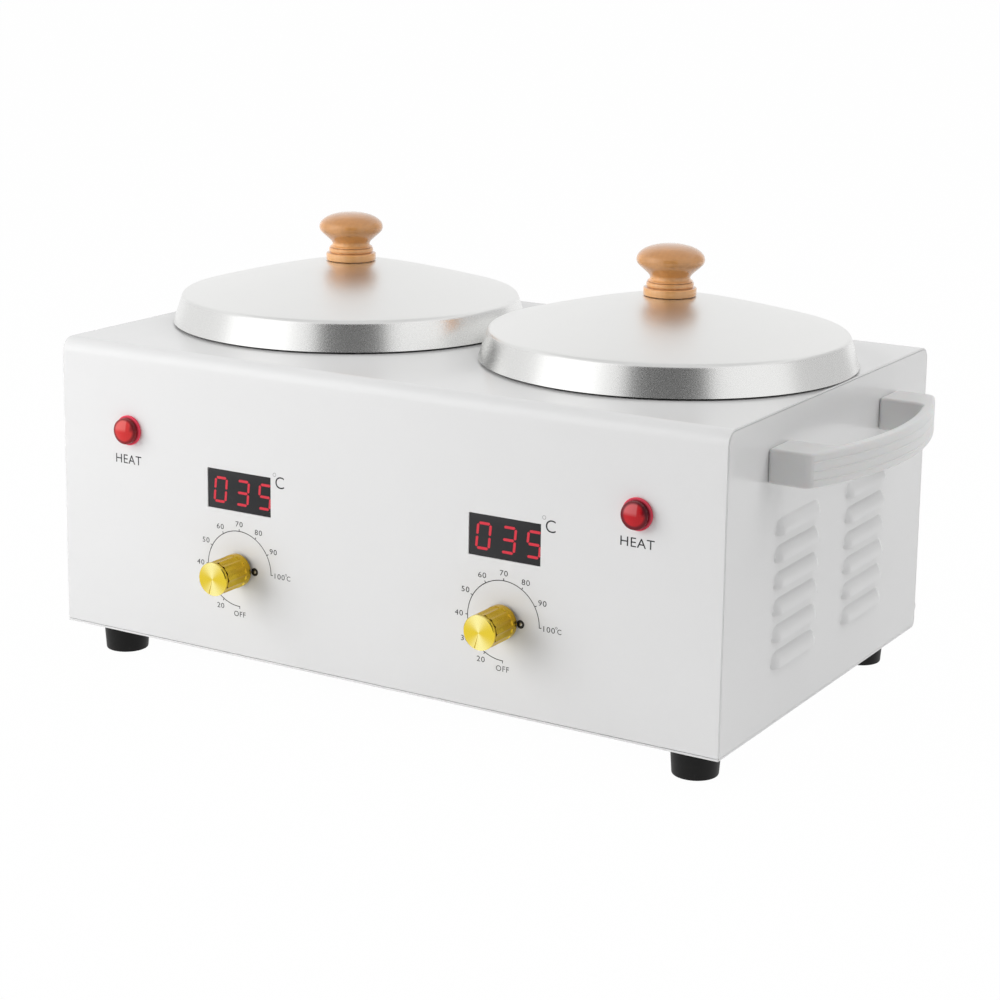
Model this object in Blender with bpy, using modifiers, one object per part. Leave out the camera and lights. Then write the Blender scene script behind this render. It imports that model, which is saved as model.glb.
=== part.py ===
"""Double wax warmer: a bent sheet case with two lidded wax pots and a temperature dial for each pot.

Run with: blender --background --python part.py
Metres, +Z up. The front faces -Y, and the origin is on the table under the middle of the warmer.
Pieces are placed from the case frame, an empty in the middle of the case's underside.
"""

import math

import bmesh
import bpy
from mathutils import Matrix

# Clearances
PIECE_GAP = 0.0003
HOLE_CLEARANCE = 0.0004
SHAFT_CLEARANCE = 0.00008
CUT_OVERRUN = 0.002
MERGE_DISTANCE = 0.00002

# Sheet metal case
CASE_WIDTH = 0.370
CASE_DEPTH = 0.232
CASE_HEIGHT = 0.148
SHEET = 0.001
BEND_RADIUS = 0.007
SEAM_GAP = 0.0006
BEND_STEPS = 3
BASE_FLANGE_HEIGHT = 0.014
PANEL_FLANGE = 0.008

# Louvres pressed out of the side panels
LOUVRE_LENGTH = 0.048
LOUVRE_HEIGHT = 0.0072
LOUVRE_DEPTH = 0.003
LOUVRE_END = 0.006
LOUVRE_ROWS = 6
LOUVRE_PITCH = 0.0125
LOUVRE_COLUMN_PITCH = 0.080
LOUVRE_FIRST_HEIGHT = 0.0278

# Pots, wells and lids
WELL_SETBACK = 0.0062
WELL_WALL = 0.0012
WELL_FLANGE = 0.0045
WELL_DEPTH = 0.110
WELL_CORNER = 0.008
WELL_STUD_RADIUS = 0.0025
POT_CLEARANCE = 0.0008
POT_WALL = 0.0015
POT_RIM_WIDTH = 0.0028
POT_RIM_HEIGHT = 0.0026
LID_GAP = 0.002
LID_OVERHANG = 0.001
LID_COVER = 0.0095
LID_FLARE = 0.0041
LID_SHOULDER_ROUND = 0.003
LID_SHEET = 0.001
LID_SKIRT = 0.015
LID_CASE_GAP = 0.001
LID_RISE = 0.0163
LID_SEAT_RADIUS = 0.0135
LID_DOME_POWER = 1.6
LID_DOME_STEPS = 3

# Wooden lid knob
GRIP_HEIGHT = 0.0248
GRIP_RADIUS = 0.0166
GRIP_NECK_RADIUS = 0.0097
GRIP_FOOT_RADIUS = 0.0129
GRIP_RING_RADIUS = 0.0115
LID_SCREW_RADIUS = 0.0015
LID_SCREW_HEAD_RADIUS = 0.005
LID_SCREW_HEAD = 0.0022
LID_SCREW_DEPTH = 0.014
# The cap from its top down: shares of the cap's radius, each with its share of the knob's height
GRIP_CAP_SHARES = ((0.43, 0.985), (0.77, 0.905), (0.95, 0.81), (1.0, 0.71), (0.96, 0.615), (0.80, 0.515))
GRIP_LEVEL_SHARES = {"waist": 0.385, "neck": 0.335, "ring": 0.275, "step": 0.157}

# Heating under each well
HEATER_INSET = 0.029
HEATER_THICKNESS = 0.006
CLAMP_INSET = 0.008
CLAMP_WIDTH = 0.020
CLAMP_THICKNESS = 0.002
CLAMP_NUT_RADIUS = 0.0045
CLAMP_NUT_HEIGHT = 0.004
CUTOUT_RADIUS = 0.008
CUTOUT_GAP = 0.002
CUTOUT_TAB_LENGTH = 0.007
CUTOUT_TAB_WIDTH = 0.005
CUTOUT_TAB_THICKNESS = 0.0008
CUTOUT_TAB_RISE = 0.002

# Front panel layout, one channel on each side of the middle
CHANNEL_INSET = 0.037
DIAL_HEIGHT = 0.045
DISPLAY_HEIGHT = 0.0836
DISPLAY_SIZE = (0.0377, 0.0080, 0.0196)
DISPLAY_RECESS = 0.0004
LAMP_INSET = 0.0423
LAMP_HEIGHT = 0.1057

# Potentiometer behind each dial
POT_METER_RADIUS = 0.0084
POT_METER_BUSH_RADIUS = 0.0035
POT_METER_BUSH_LENGTH = 0.0055
POT_METER_NUT_RADIUS = 0.0052
POT_METER_NUT_HEIGHT = 0.002
SHAFT_RADIUS = 0.003
SHAFT_FLAT = 0.0015
SHAFT_LENGTH = 0.0155
SHAFT_SOCKET = 0.004
TAB_OFFSET = 0.0092
TAB_SIZE = 0.0016
TAB_HOLE_RADIUS = 0.0017

# Gold dial knob
KNOB_RADIUS = 0.0083
KNOB_LENGTH = 0.0198
KNOB_STANDOFF = 0.0017
KNOB_EDGE = 0.0006
KNOB_LIP = 0.0016
KNOB_GROOVE_WIDTH = 0.0008
KNOB_GROOVE_DEPTH = 0.0007
KNOB_BAND = 0.0034
KNOB_RECESS_RADIUS = 0.0064
KNOB_RECESS_DEPTH = 0.0045
KNOB_FLUTES = 14
FLUTE_RADIUS = 0.0026
FLUTE_DEPTH = 0.0004
POINTER_WIDTH = 0.0006
POINTER_LENGTH = 0.0034
POINTER_DEPTH = 0.0004
DIAL_REST_ANGLE = math.radians(15)

# Indicator lamps
LAMP_RADIUS = 0.0073
LAMP_DRUM = 0.0042
LAMP_FACE_RADIUS = 0.0058
LAMP_DOME = 0.0009
LAMP_DOME_SHARES = (0.55, 0.75)
LAMP_NECK_RADIUS = 0.0055
LAMP_NECK_LENGTH = 0.004
LAMP_BARREL_RADIUS = 0.0068
LAMP_BARREL_LENGTH = 0.021

# Control board behind each display and dial
BOARD_WIDTH = 0.060
BOARD_THICKNESS = 0.0016
BOARD_MARGIN = 0.006
RELAY_SIZE = (0.019, 0.0155, 0.015)
SUPPLY_SIZE = (0.022, 0.014, 0.018)
BOARD_COMPONENT_SPREAD = 0.014
BOARD_EDGE = 0.001
SOLDER_BITE = 0.0004

# Side handles
HANDLE_SPAN = 0.150
HANDLE_HEIGHT = 0.0162
HANDLE_TOP_DROP = 0.0154
HANDLE_REACH = 0.036
HANDLE_LEG_REACH = 0.020
HANDLE_LEG_WIDTH = 0.022
HANDLE_GRIP = 0.0056
HANDLE_CORNER = 0.002
HANDLE_FILLET = 0.007
HANDLE_ARC_STEP = math.radians(6)
HANDLE_INNER_STEPS = 6
HANDLE_FILLET_STEPS = 2
HANDLE_GROOVES = 3
HANDLE_GROOVE_PITCH = 0.0042
HANDLE_GROOVE_RADIUS = 0.0006
HANDLE_GROOVE_DEPTH = 0.00045
HANDLE_EDGE = 0.0008

# Screws
SCREW_RADIUS = 0.0019
SCREW_HEAD_RADIUS = 0.0038
SCREW_HEAD = 0.0024
SCREW_CROWN_SHARE = 0.6
SCREW_SHOULDER_SHARE = 0.45
HANDLE_SCREW_LENGTH = 0.013
BASE_SCREW_LENGTH = 0.007
BASE_SCREW_INSET = 0.024
FOOT_SCREW_REACH = 0.005
FOOT_NUT_RADIUS = 0.0036
FOOT_NUT_HEIGHT = 0.0028

# Rubber feet
FOOT_HEIGHT = 0.016
FOOT_TOP_RADIUS = 0.0118
FOOT_BOTTOM_RADIUS = 0.0107
FOOT_INSET = 0.021
FOOT_RECESS_RADIUS = 0.0052
FOOT_RECESS_DEPTH = 0.0065
FOOT_EDGE = 0.0004

# Mains inlet in the back
INLET_X = 0.0
INLET_CENTRE_HEIGHT = 0.045
INLET_FLANGE = (0.050, 0.003, 0.0225)
INLET_BODY = (0.0275, 0.022, 0.0195)
INLET_SOCKET = (0.0240, 0.0165, 0.0160)
INLET_SCREW_SPACING = 0.040
INLET_SCREW_RADIUS = 0.0015
INLET_SCREW_HEAD_RADIUS = 0.0028
INLET_SCREW_LENGTH = 0.008
INLET_CORNER = 0.005
PIN_SIZE = (0.002, 0.012, 0.004)
PIN_SPACING = 0.007
PIN_RISE = 0.002
PIN_TAIL = 0.008

# Facets round a full turn
LID_FACETS = 32
WELL_FACETS = 24
GRIP_FACETS = 16
SMALL_FACETS = 16
HIDDEN_FACETS = 12
SCREW_FACETS = 8
HEX_FACETS = 6
LOUVRE_FACETS = 8
LOUVRE_RINGS = 4
THROAT_FACETS = 8
THROAT_RINGS = 2
GROOVE_FACETS = 4

# Places that follow from the sizes above
HALF_WIDTH = CASE_WIDTH / 2
HALF_DEPTH = CASE_DEPTH / 2
FRONT_PROTRUSION = KNOB_STANDOFF + KNOB_LENGTH
BACK_PROTRUSION = PIECE_GAP + INLET_FLANGE[1]
CASE_SHIFT = (FRONT_PROTRUSION - BACK_PROTRUSION) / 2
LID_RADIUS = (CASE_WIDTH + 2 * LID_OVERHANG - LID_GAP) / 4
LID_SHOULDER_RADIUS = LID_RADIUS - LID_FLARE
POT_SPACING = 2 * LID_RADIUS + LID_GAP
WELL_RADIUS = LID_RADIUS - LID_COVER
HEATER_RADIUS = WELL_RADIUS - HEATER_INSET
CLAMP_LENGTH = 2 * (WELL_RADIUS - CLAMP_INSET)
CUTOUT_OFFSET = HEATER_RADIUS + CUTOUT_GAP + CUTOUT_RADIUS
CHANNEL_SPACING = POT_SPACING - CHANNEL_INSET
LAMP_SPACING = CASE_WIDTH - 2 * LAMP_INSET
BOARD_FRONT = -HALF_DEPTH + DISPLAY_RECESS + DISPLAY_SIZE[1] + PIECE_GAP
LID_TOP = CASE_HEIGHT + LID_CASE_GAP + LID_SKIRT
POT_RADIUS = WELL_RADIUS - WELL_WALL - POT_CLEARANCE
POT_RIM_TOP = LID_TOP - LID_SHEET - PIECE_GAP
WELL_FLOOR = CASE_HEIGHT - WELL_DEPTH
SIDES = {"left": -1, "right": 1}


def clear_scene():
    """Remove every object so that the script starts from nothing."""
    for item in list(bpy.data.objects):
        bpy.data.objects.remove(item, do_unlink=True)


def collection(name):
    """Return the named collection, linked to the scene."""
    group = bpy.data.collections.get(name)
    if group is None:
        group = bpy.data.collections.new(name)
        bpy.context.scene.collection.children.link(group)
    return group


def case_frame():
    """Return the empty in the middle of the case's underside that carries every piece."""
    frame = bpy.data.objects.get("case_frame")
    if frame is None:
        frame = bpy.data.objects.new("case_frame", None)
        frame.location = (0, CASE_SHIFT, FOOT_HEIGHT)
        collection("double_wax_warmer").objects.link(frame)
    return frame


def finish(name, colour, roughness, metallic=0.0):
    """Return a Principled material with this colour, roughness and metallic value."""
    material = bpy.data.materials.get(name)
    if material is None:
        material = bpy.data.materials.new(name)
        material.use_nodes = True
        surface = material.node_tree.nodes["Principled BSDF"]
        surface.inputs["Base Color"].default_value = (*colour, 1)
        surface.inputs["Roughness"].default_value = roughness
        surface.inputs["Metallic"].default_value = metallic
    return material


def white_paint():
    return finish("white_enamel", (0.82, 0.82, 0.82), 0.18)


def white_plastic():
    return finish("white_plastic", (0.72, 0.72, 0.71), 0.40)


def bare_aluminium():
    return finish("bare_aluminium", (0.78, 0.78, 0.77), 0.32, 1.0)


def gold_aluminium():
    return finish("gold_aluminium", (0.87, 0.66, 0.06), 0.24, 1.0)


def zinc_steel():
    return finish("zinc_steel", (0.62, 0.62, 0.63), 0.35, 1.0)


def lacquered_wood():
    return finish("lacquered_wood", (0.62, 0.33, 0.12), 0.30)


def black_rubber():
    return finish("black_rubber", (0.02, 0.02, 0.02), 0.70)


def black_plastic():
    return finish("black_plastic", (0.03, 0.03, 0.03), 0.45)


def red_lens():
    return finish("red_lens", (0.60, 0.02, 0.03), 0.12)


def board_green():
    return finish("board_green", (0.05, 0.22, 0.10), 0.45)


def heater_mica():
    return finish("heater_mica", (0.45, 0.38, 0.27), 0.60)


def add_object(name, mesh, material, place=(0, 0, 0), turn=(0, 0, 0)):
    """Link a mesh as a named piece, carried by the case frame."""
    item = bpy.data.objects.new(name, mesh)
    item.location = place
    item.rotation_euler = turn
    item.parent = case_frame()
    if material is None:
        item.hide_render = True
        item.display_type = 'WIRE'
        collection("cutters").objects.link(item)
    else:
        item.data.materials.append(material)
        collection("double_wax_warmer").objects.link(item)
    return item


def mesh_from(form, name):
    """Turn a bmesh into a mesh with its faces pointing outwards."""
    bmesh.ops.recalc_face_normals(form, faces=form.faces)
    mesh = bpy.data.meshes.new(name)
    form.to_mesh(mesh)
    form.free()
    return mesh


def smooth(item, angle=35):
    """Shade a round piece smooth, with its real edges kept sharp."""
    item.data.shade_smooth()
    item.data.set_sharp_from_angle(angle=math.radians(angle))
    return item


def add_box_to(form, size, centre=(0, 0, 0)):
    """Add a box of this size to a bmesh."""
    matrix = Matrix.Translation(centre) @ Matrix.Diagonal((*size, 1))
    bmesh.ops.create_cube(form, size=1, matrix=matrix)


def add_rod_to(form, radius, length, centre=(0, 0, 0), axis='Z', facets=SMALL_FACETS):
    """Add a capped cylinder along one axis to a bmesh."""
    turns = {'X': Matrix.Rotation(math.pi / 2, 4, 'Y'), 'Y': Matrix.Rotation(math.pi / 2, 4, 'X')}
    matrix = Matrix.Translation(centre) @ turns.get(axis, Matrix.Identity(4))
    bmesh.ops.create_cone(form, cap_ends=True, segments=facets, radius1=radius, radius2=radius,
                          depth=length, matrix=matrix)


def boxes(name, sizes_and_centres, material=None, place=(0, 0, 0), turn=(0, 0, 0)):
    """Make an object from boxes, each given as its size and centre."""
    form = bmesh.new()
    for size, centre in sizes_and_centres:
        add_box_to(form, size, centre)
    return add_object(name, mesh_from(form, name), material, place, turn)


def rods(name, rod_list, axis, material=None, facets=SMALL_FACETS):
    """Make an object from rods, each given as its radius, length and centre."""
    form = bmesh.new()
    for radius, length, centre in rod_list:
        add_rod_to(form, radius, length, centre, axis, facets)
    return add_object(name, mesh_from(form, name), material)


def arc(centre, radius, start, end, steps):
    """Return points along an arc, with angles in degrees."""
    angles = [math.radians(start + (end - start) * step / steps) for step in range(steps + 1)]
    return [(centre[0] + radius * math.cos(a), centre[1] + radius * math.sin(a)) for a in angles]


def turned(name, profile, material, place=(0, 0, 0), turn=(0, 0, 0), facets=SMALL_FACETS,
           closed=False, wall=0):
    """Turn a profile of (radius, height) points, which runs down its outer side, about local Z."""
    form = bmesh.new()
    points = [form.verts.new((radius, 0, height)) for radius, height in profile]
    for first, second in zip(points, points[1:]):
        form.edges.new((first, second))
    if closed:
        form.edges.new((points[-1], points[0]))
    mesh = bpy.data.meshes.new(name)
    form.to_mesh(mesh)
    form.free()
    item = add_object(name, mesh, material, place, turn)
    screw = item.modifiers.new("turn", 'SCREW')
    screw.axis = 'Z'
    screw.steps = facets
    screw.render_steps = facets
    screw.use_merge_vertices = True
    screw.merge_threshold = MERGE_DISTANCE
    screw.use_smooth_shade = True
    if wall:
        shell = item.modifiers.new("wall", 'SOLIDIFY')
        shell.thickness = wall
        shell.offset = -1
    return item


def cut(item, cutter):
    """Cut the cutter's shape out of the piece."""
    change = item.modifiers.new("cut_" + cutter.name, 'BOOLEAN')
    change.operation = 'DIFFERENCE'
    change.solver = 'EXACT'
    change.object = cutter


def fuse(item, addition):
    """Join the addition's shape to the piece."""
    change = item.modifiers.new("fuse_" + addition.name, 'BOOLEAN')
    change.operation = 'UNION'
    change.solver = 'EXACT'
    change.object = addition


def round_edges(item, width, segments=2, angle=60):
    """Round the piece's sharp edges."""
    bevel = item.modifiers.new("edges", 'BEVEL')
    bevel.width = width
    bevel.segments = segments
    bevel.limit_method = 'ANGLE'
    bevel.angle_limit = math.radians(angle)


def bent_sheet(name, path, width):
    """Return a sheet whose skin follows a path of (y, z) points and whose thickness lies inside it."""
    form = bmesh.new()
    points = [form.verts.new((-width / 2, y, z)) for y, z in path]
    edges = [form.edges.new(pair) for pair in zip(points, points[1:])]
    swept = bmesh.ops.extrude_edge_only(form, edges=edges)
    moved = [part for part in swept["geom"] if isinstance(part, bmesh.types.BMVert)]
    bmesh.ops.translate(form, verts=moved, vec=(width, 0, 0))
    mesh = bpy.data.meshes.new(name)
    form.to_mesh(mesh)
    form.free()
    item = add_object(name, mesh, white_paint())
    shell = item.modifiers.new("sheet", 'SOLIDIFY')
    shell.thickness = SHEET
    shell.offset = -1
    shell.use_even_offset = True
    return item


def case_wrap():
    """Front, top and back of the case, bent from one sheet and punched for everything it carries."""
    top = CASE_HEIGHT
    front, back = -HALF_DEPTH, HALF_DEPTH
    path = [(front, SHEET + SEAM_GAP)]
    path += arc((front + BEND_RADIUS, top - BEND_RADIUS), BEND_RADIUS, 180, 90, BEND_STEPS)
    path += arc((back - BEND_RADIUS, top - BEND_RADIUS), BEND_RADIUS, 90, 0, BEND_STEPS)
    path += [(back, BASE_FLANGE_HEIGHT + SEAM_GAP)]
    wrap = bent_sheet("case_wrap", path, CASE_WIDTH)

    through = SHEET + 2 * CUT_OVERRUN
    hole = WELL_RADIUS + HOLE_CLEARANCE
    cut(wrap, rods("well_holes", [
        (hole, through, (side * POT_SPACING / 2, WELL_SETBACK, top - SHEET / 2)) for side in SIDES.values()
    ], 'Z', facets=WELL_FACETS))

    front_mid = front + SHEET / 2
    openings = []
    for side in SIDES.values():
        openings.append(((DISPLAY_SIZE[0] + 2 * PIECE_GAP, through, DISPLAY_SIZE[2] + 2 * PIECE_GAP),
                         (side * CHANNEL_SPACING / 2, front_mid, DISPLAY_HEIGHT)))
    openings.append(((INLET_BODY[0] + 2 * PIECE_GAP, through, INLET_BODY[2] + 2 * PIECE_GAP),
                     (INLET_X, back - SHEET / 2, INLET_CENTRE_HEIGHT)))
    cut(wrap, boxes("panel_windows", openings))

    holes = []
    for side in SIDES.values():
        dial = side * CHANNEL_SPACING / 2
        holes.append((POT_METER_BUSH_RADIUS + HOLE_CLEARANCE, through, (dial, front_mid, DIAL_HEIGHT)))
        holes.append((TAB_HOLE_RADIUS, through, (dial + TAB_OFFSET, front_mid, DIAL_HEIGHT)))
        holes.append((LAMP_NECK_RADIUS + HOLE_CLEARANCE, through,
                      (side * LAMP_SPACING / 2, front_mid, LAMP_HEIGHT)))
        holes.append((INLET_SCREW_RADIUS + PIECE_GAP, through,
                      (INLET_X + side * INLET_SCREW_SPACING / 2, back - SHEET / 2, INLET_CENTRE_HEIGHT)))
    cut(wrap, rods("panel_holes", holes, 'Y', facets=HIDDEN_FACETS))
    return smooth(wrap)


def base_plate():
    """Bottom of the case, with its back edge bent up to meet the wrap."""
    front, back = -HALF_DEPTH, HALF_DEPTH
    path = [(back, BASE_FLANGE_HEIGHT)]
    path += arc((back - BEND_RADIUS, BEND_RADIUS), BEND_RADIUS, 0, -90, BEND_STEPS)
    path += [(front, 0)]
    plate = bent_sheet("base_plate", path, CASE_WIDTH)
    holes = [(SCREW_RADIUS + PIECE_GAP, SHEET + 2 * CUT_OVERRUN, (x, y, SHEET / 2))
             for x, y in foot_places()]
    holes += [(SCREW_RADIUS + PIECE_GAP, SHEET + 2 * CUT_OVERRUN, (x, y, SHEET / 2))
              for x, y in base_screw_places()]
    cut(plate, rods("base_holes", holes, 'Z', facets=SCREW_FACETS))
    back_holes = [(SCREW_RADIUS + PIECE_GAP, SHEET + 2 * CUT_OVERRUN,
                   (side * (HALF_WIDTH - PANEL_FLANGE / 2), back - SHEET / 2, back_screw_height()))
                  for side in SIDES.values()]
    cut(plate, rods("base_back_holes", back_holes, 'Y', facets=SCREW_FACETS))
    return smooth(plate)


def foot_places():
    """Return the four feet's (x, y) places."""
    x, y = HALF_WIDTH - FOOT_INSET, HALF_DEPTH - FOOT_INSET
    return [(-x, -y), (x, -y), (-x, y), (x, y)]


def base_screw_places():
    """Return the (x, y) places of the screws that fix the base plate under the side panels."""
    x = HALF_WIDTH - PANEL_FLANGE / 2 - SHEET / 2
    y = HALF_DEPTH - BASE_SCREW_INSET - FOOT_INSET
    return [(-x, -y), (x, -y)]


def back_screw_height():
    """Return the height of the screws through the base plate's back flange."""
    return (BASE_FLANGE_HEIGHT + BEND_RADIUS) / 2


def rounded_outline(inset):
    """Return the side panel's (y, z) outline, this far inside the case's skin."""
    radius = BEND_RADIUS - inset
    front, back = -HALF_DEPTH + inset, HALF_DEPTH - inset
    top, bottom = CASE_HEIGHT - inset, inset
    outline = [(front, bottom)]
    outline += arc((front + radius, top - radius), radius, 180, 90, BEND_STEPS)
    outline += arc((back - radius, top - radius), radius, 90, 0, BEND_STEPS)
    outline += arc((back - radius, bottom + radius), radius, 0, -90, BEND_STEPS)
    return outline


def capsule_form(radii, length, facets, rings):
    """Return a bmesh of a bar along Y with an oval section and rounded ends."""
    depth, end, height = radii
    form = bmesh.new()
    bmesh.ops.create_uvsphere(form, u_segments=facets, v_segments=rings, radius=1,
                              matrix=Matrix.Rotation(math.pi / 2, 4, 'X'))
    bmesh.ops.scale(form, vec=(depth, end, height), verts=form.verts)
    everything = form.verts[:] + form.edges[:] + form.faces[:]
    bmesh.ops.bisect_plane(form, geom=everything, dist=MERGE_DISTANCE, plane_co=(0, 0, 0),
                           plane_no=(0, 1, 0), clear_inner=True)
    bmesh.ops.translate(form, verts=form.verts, vec=(0, length / 2 - end, 0))
    rim = [edge for edge in form.edges if edge.is_boundary]
    swept = bmesh.ops.extrude_edge_only(form, edges=rim)
    moved = [part for part in swept["geom"] if isinstance(part, bmesh.types.BMVert)]
    bmesh.ops.translate(form, verts=moved, vec=(0, end - length / 2, 0))
    bmesh.ops.mirror(form, geom=form.verts[:] + form.edges[:] + form.faces[:], axis='Y',
                     merge_dist=MERGE_DISTANCE)
    return form


def trim(form, point, normal):
    """Cut a bmesh with a plane, drop what lies behind it and close the cut."""
    everything = form.verts[:] + form.edges[:] + form.faces[:]
    result = bmesh.ops.bisect_plane(form, geom=everything, dist=MERGE_DISTANCE, plane_co=point,
                                    plane_no=normal, clear_inner=True)
    edges = [part for part in result["geom_cut"] if isinstance(part, bmesh.types.BMEdge)]
    return bmesh.ops.contextual_create(form, geom=edges)["faces"]


def louvre_bulge():
    """Return one louvre's outer form: a bulge that is cut off flat at its lower edge."""
    radii = (LOUVRE_DEPTH, LOUVRE_END, LOUVRE_HEIGHT)
    form = capsule_form(radii, LOUVRE_LENGTH, LOUVRE_FACETS, LOUVRE_RINGS)
    trim(form, (0, 0, 0), (0, 0, 1))
    trim(form, (-SHEET / 2, 0, 0), (1, 0, 0))
    return form


def louvre_throat():
    """Return what is taken out under the bulge: its inside, its mouth and the slot in the panel."""
    radii = (LOUVRE_DEPTH - SHEET, LOUVRE_END - SHEET, LOUVRE_HEIGHT - SHEET)
    form = capsule_form(radii, LOUVRE_LENGTH - 2 * SHEET, THROAT_FACETS, THROAT_RINGS)
    trim(form, (0, 0, -SHEET / 2), (0, 0, 1))
    back = trim(form, (0, 0, 0), (1, 0, 0))
    swept = bmesh.ops.extrude_face_region(form, geom=back)
    moved = [part for part in swept["geom"] if isinstance(part, bmesh.types.BMVert)]
    bmesh.ops.translate(form, verts=moved, vec=(-SHEET - CUT_OVERRUN, 0, 0))
    bmesh.ops.delete(form, geom=back, context='FACES_KEEP_BOUNDARY')
    return form


def louvre_block(name, make_form, side):
    """Repeat one louvre form over the rows and columns of a side panel."""
    pattern = bmesh.new()
    single = bpy.data.meshes.new(name + "_single")
    form = make_form()
    bmesh.ops.recalc_face_normals(form, faces=form.faces)
    form.to_mesh(single)
    form.free()
    for column in (-1, 1):
        for row in range(LOUVRE_ROWS):
            place = (0, column * LOUVRE_COLUMN_PITCH / 2,
                     LOUVRE_FIRST_HEIGHT + row * LOUVRE_PITCH)
            before = len(pattern.verts)
            pattern.from_mesh(single)
            bmesh.ops.translate(pattern, verts=pattern.verts[before:], vec=place)
            pattern.verts.ensure_lookup_table()
    bpy.data.meshes.remove(single)
    if side < 0:
        bmesh.ops.scale(pattern, vec=(-1, 1, 1), verts=pattern.verts)
    return add_object(name, mesh_from(pattern, name), None, (side * HALF_WIDTH, 0, 0))


def side_panel(label, side):
    """A flanged end panel inside the wrap, with two columns of louvres that open downwards."""
    inset = SHEET + PIECE_GAP
    form = bmesh.new()
    corners = [form.verts.new((0, y, z)) for y, z in rounded_outline(inset)]
    face = form.faces.new(corners)
    swept = bmesh.ops.extrude_edge_only(form, edges=face.edges[:])
    moved = [part for part in swept["geom"] if isinstance(part, bmesh.types.BMVert)]
    bmesh.ops.translate(form, verts=moved, vec=(-side * PANEL_FLANGE, 0, 0))
    bmesh.ops.recalc_face_normals(form, faces=form.faces)
    if face.normal.x * side < 0:
        bmesh.ops.reverse_faces(form, faces=form.faces)
    mesh = bpy.data.meshes.new("side_panel_" + label)
    form.to_mesh(mesh)
    form.free()
    panel = add_object("side_panel_" + label, mesh, white_paint(), (side * HALF_WIDTH, 0, 0))
    shell = panel.modifiers.new("sheet", 'SOLIDIFY')
    shell.thickness = SHEET
    shell.offset = -1
    shell.use_even_offset = True
    fuse(panel, louvre_block("louvre_bulges_" + label, louvre_bulge, side))
    cut(panel, louvre_block("louvre_throats_" + label, louvre_throat, side))

    through = SHEET + 2 * CUT_OVERRUN
    clearance = SCREW_RADIUS + PIECE_GAP
    holes = [(clearance, through, (side * (HALF_WIDTH - SHEET / 2), y, handle_middle()))
             for y in handle_screw_places()]
    cut(panel, rods("panel_screw_holes_" + label, holes, 'X', facets=SCREW_FACETS))
    base = [(clearance, through, (x, y, inset + SHEET / 2))
            for x, y in base_screw_places() if x * side > 0]
    cut(panel, rods("panel_base_holes_" + label, base, 'Z', facets=SCREW_FACETS))
    back = [(clearance, through, (side * (HALF_WIDTH - PANEL_FLANGE / 2),
                                  HALF_DEPTH - inset - SHEET / 2, back_screw_height()))]
    cut(panel, rods("panel_back_hole_" + label, back, 'Y', facets=SCREW_FACETS))
    return smooth(panel)


def handle_middle():
    """Return the height of the middle of the handles."""
    return CASE_HEIGHT - HANDLE_TOP_DROP - HANDLE_HEIGHT / 2


def handle_screw_places():
    """Return the y places of the two screws in each handle."""
    leg = (HANDLE_SPAN - HANDLE_LEG_WIDTH) / 2
    return [-leg, leg]


def bow(reach, chord_reach, span):
    """Return the centre x and radius of the arc through (chord_reach, +-span / 2) and (reach, 0)."""
    rise = reach - chord_reach
    radius = (span ** 2 / 4 + rise ** 2) / (2 * rise)
    return reach - radius, radius


def handle_outline():
    """Return the handle's plan: two legs and a bowed grip, as (x, y) points from the panel."""
    half = HANDLE_SPAN / 2
    centre, radius = bow(HANDLE_REACH, HANDLE_LEG_REACH, HANDLE_SPAN)
    steps = math.floor(math.asin(half / radius) / HANDLE_ARC_STEP)
    angles = [step * HANDLE_ARC_STEP for step in range(-steps, steps + 1)]
    corner = HANDLE_LEG_REACH - HANDLE_CORNER
    outer = [(PIECE_GAP, -half), (corner, -half)]
    outer += [(centre + radius * math.cos(angle), radius * math.sin(angle)) for angle in angles]
    outer += [(corner, half), (PIECE_GAP, half)]

    inner_half = half - HANDLE_LEG_WIDTH
    inner_radius = radius - HANDLE_GRIP
    bend = inner_half - HANDLE_FILLET
    sweep = math.degrees(math.asin(bend / inner_radius))
    root = centre + inner_radius * math.cos(math.radians(sweep)) - HANDLE_FILLET
    inner = [(PIECE_GAP, inner_half)]
    inner += arc((root, bend), HANDLE_FILLET, 90, 0, HANDLE_FILLET_STEPS)
    inner += arc((centre, 0), inner_radius, sweep, -sweep, HANDLE_INNER_STEPS)[1:-1]
    inner += arc((root, -bend), HANDLE_FILLET, 0, -90, HANDLE_FILLET_STEPS)
    inner += [(PIECE_GAP, -inner_half)]
    return outer + inner


def flat_piece(name, outline, thickness, material):
    """Make a flat piece from a closed outline by filling a curve and giving it thickness."""
    shape = bpy.data.curves.new(name + "_outline", 'CURVE')
    shape.dimensions = '2D'
    shape.fill_mode = 'BOTH'
    shape.extrude = thickness / 2
    line = shape.splines.new('POLY')
    line.points.add(len(outline) - 1)
    for point, (x, y) in zip(line.points, outline):
        point.co = (x, y, 0, 1)
    line.use_cyclic_u = True
    guide = bpy.data.objects.new(name + "_outline", shape)
    collection("double_wax_warmer").objects.link(guide)
    evaluated = guide.evaluated_get(bpy.context.evaluated_depsgraph_get())
    flat = bpy.data.meshes.new_from_object(evaluated)
    bpy.data.objects.remove(guide, do_unlink=True)
    form = bmesh.new()
    form.from_mesh(flat)
    bmesh.ops.remove_doubles(form, verts=form.verts, dist=MERGE_DISTANCE)
    bmesh.ops.dissolve_limit(form, angle_limit=math.radians(1), verts=form.verts, edges=form.edges)
    return add_object(name, mesh_from(form, name), material)


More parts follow.
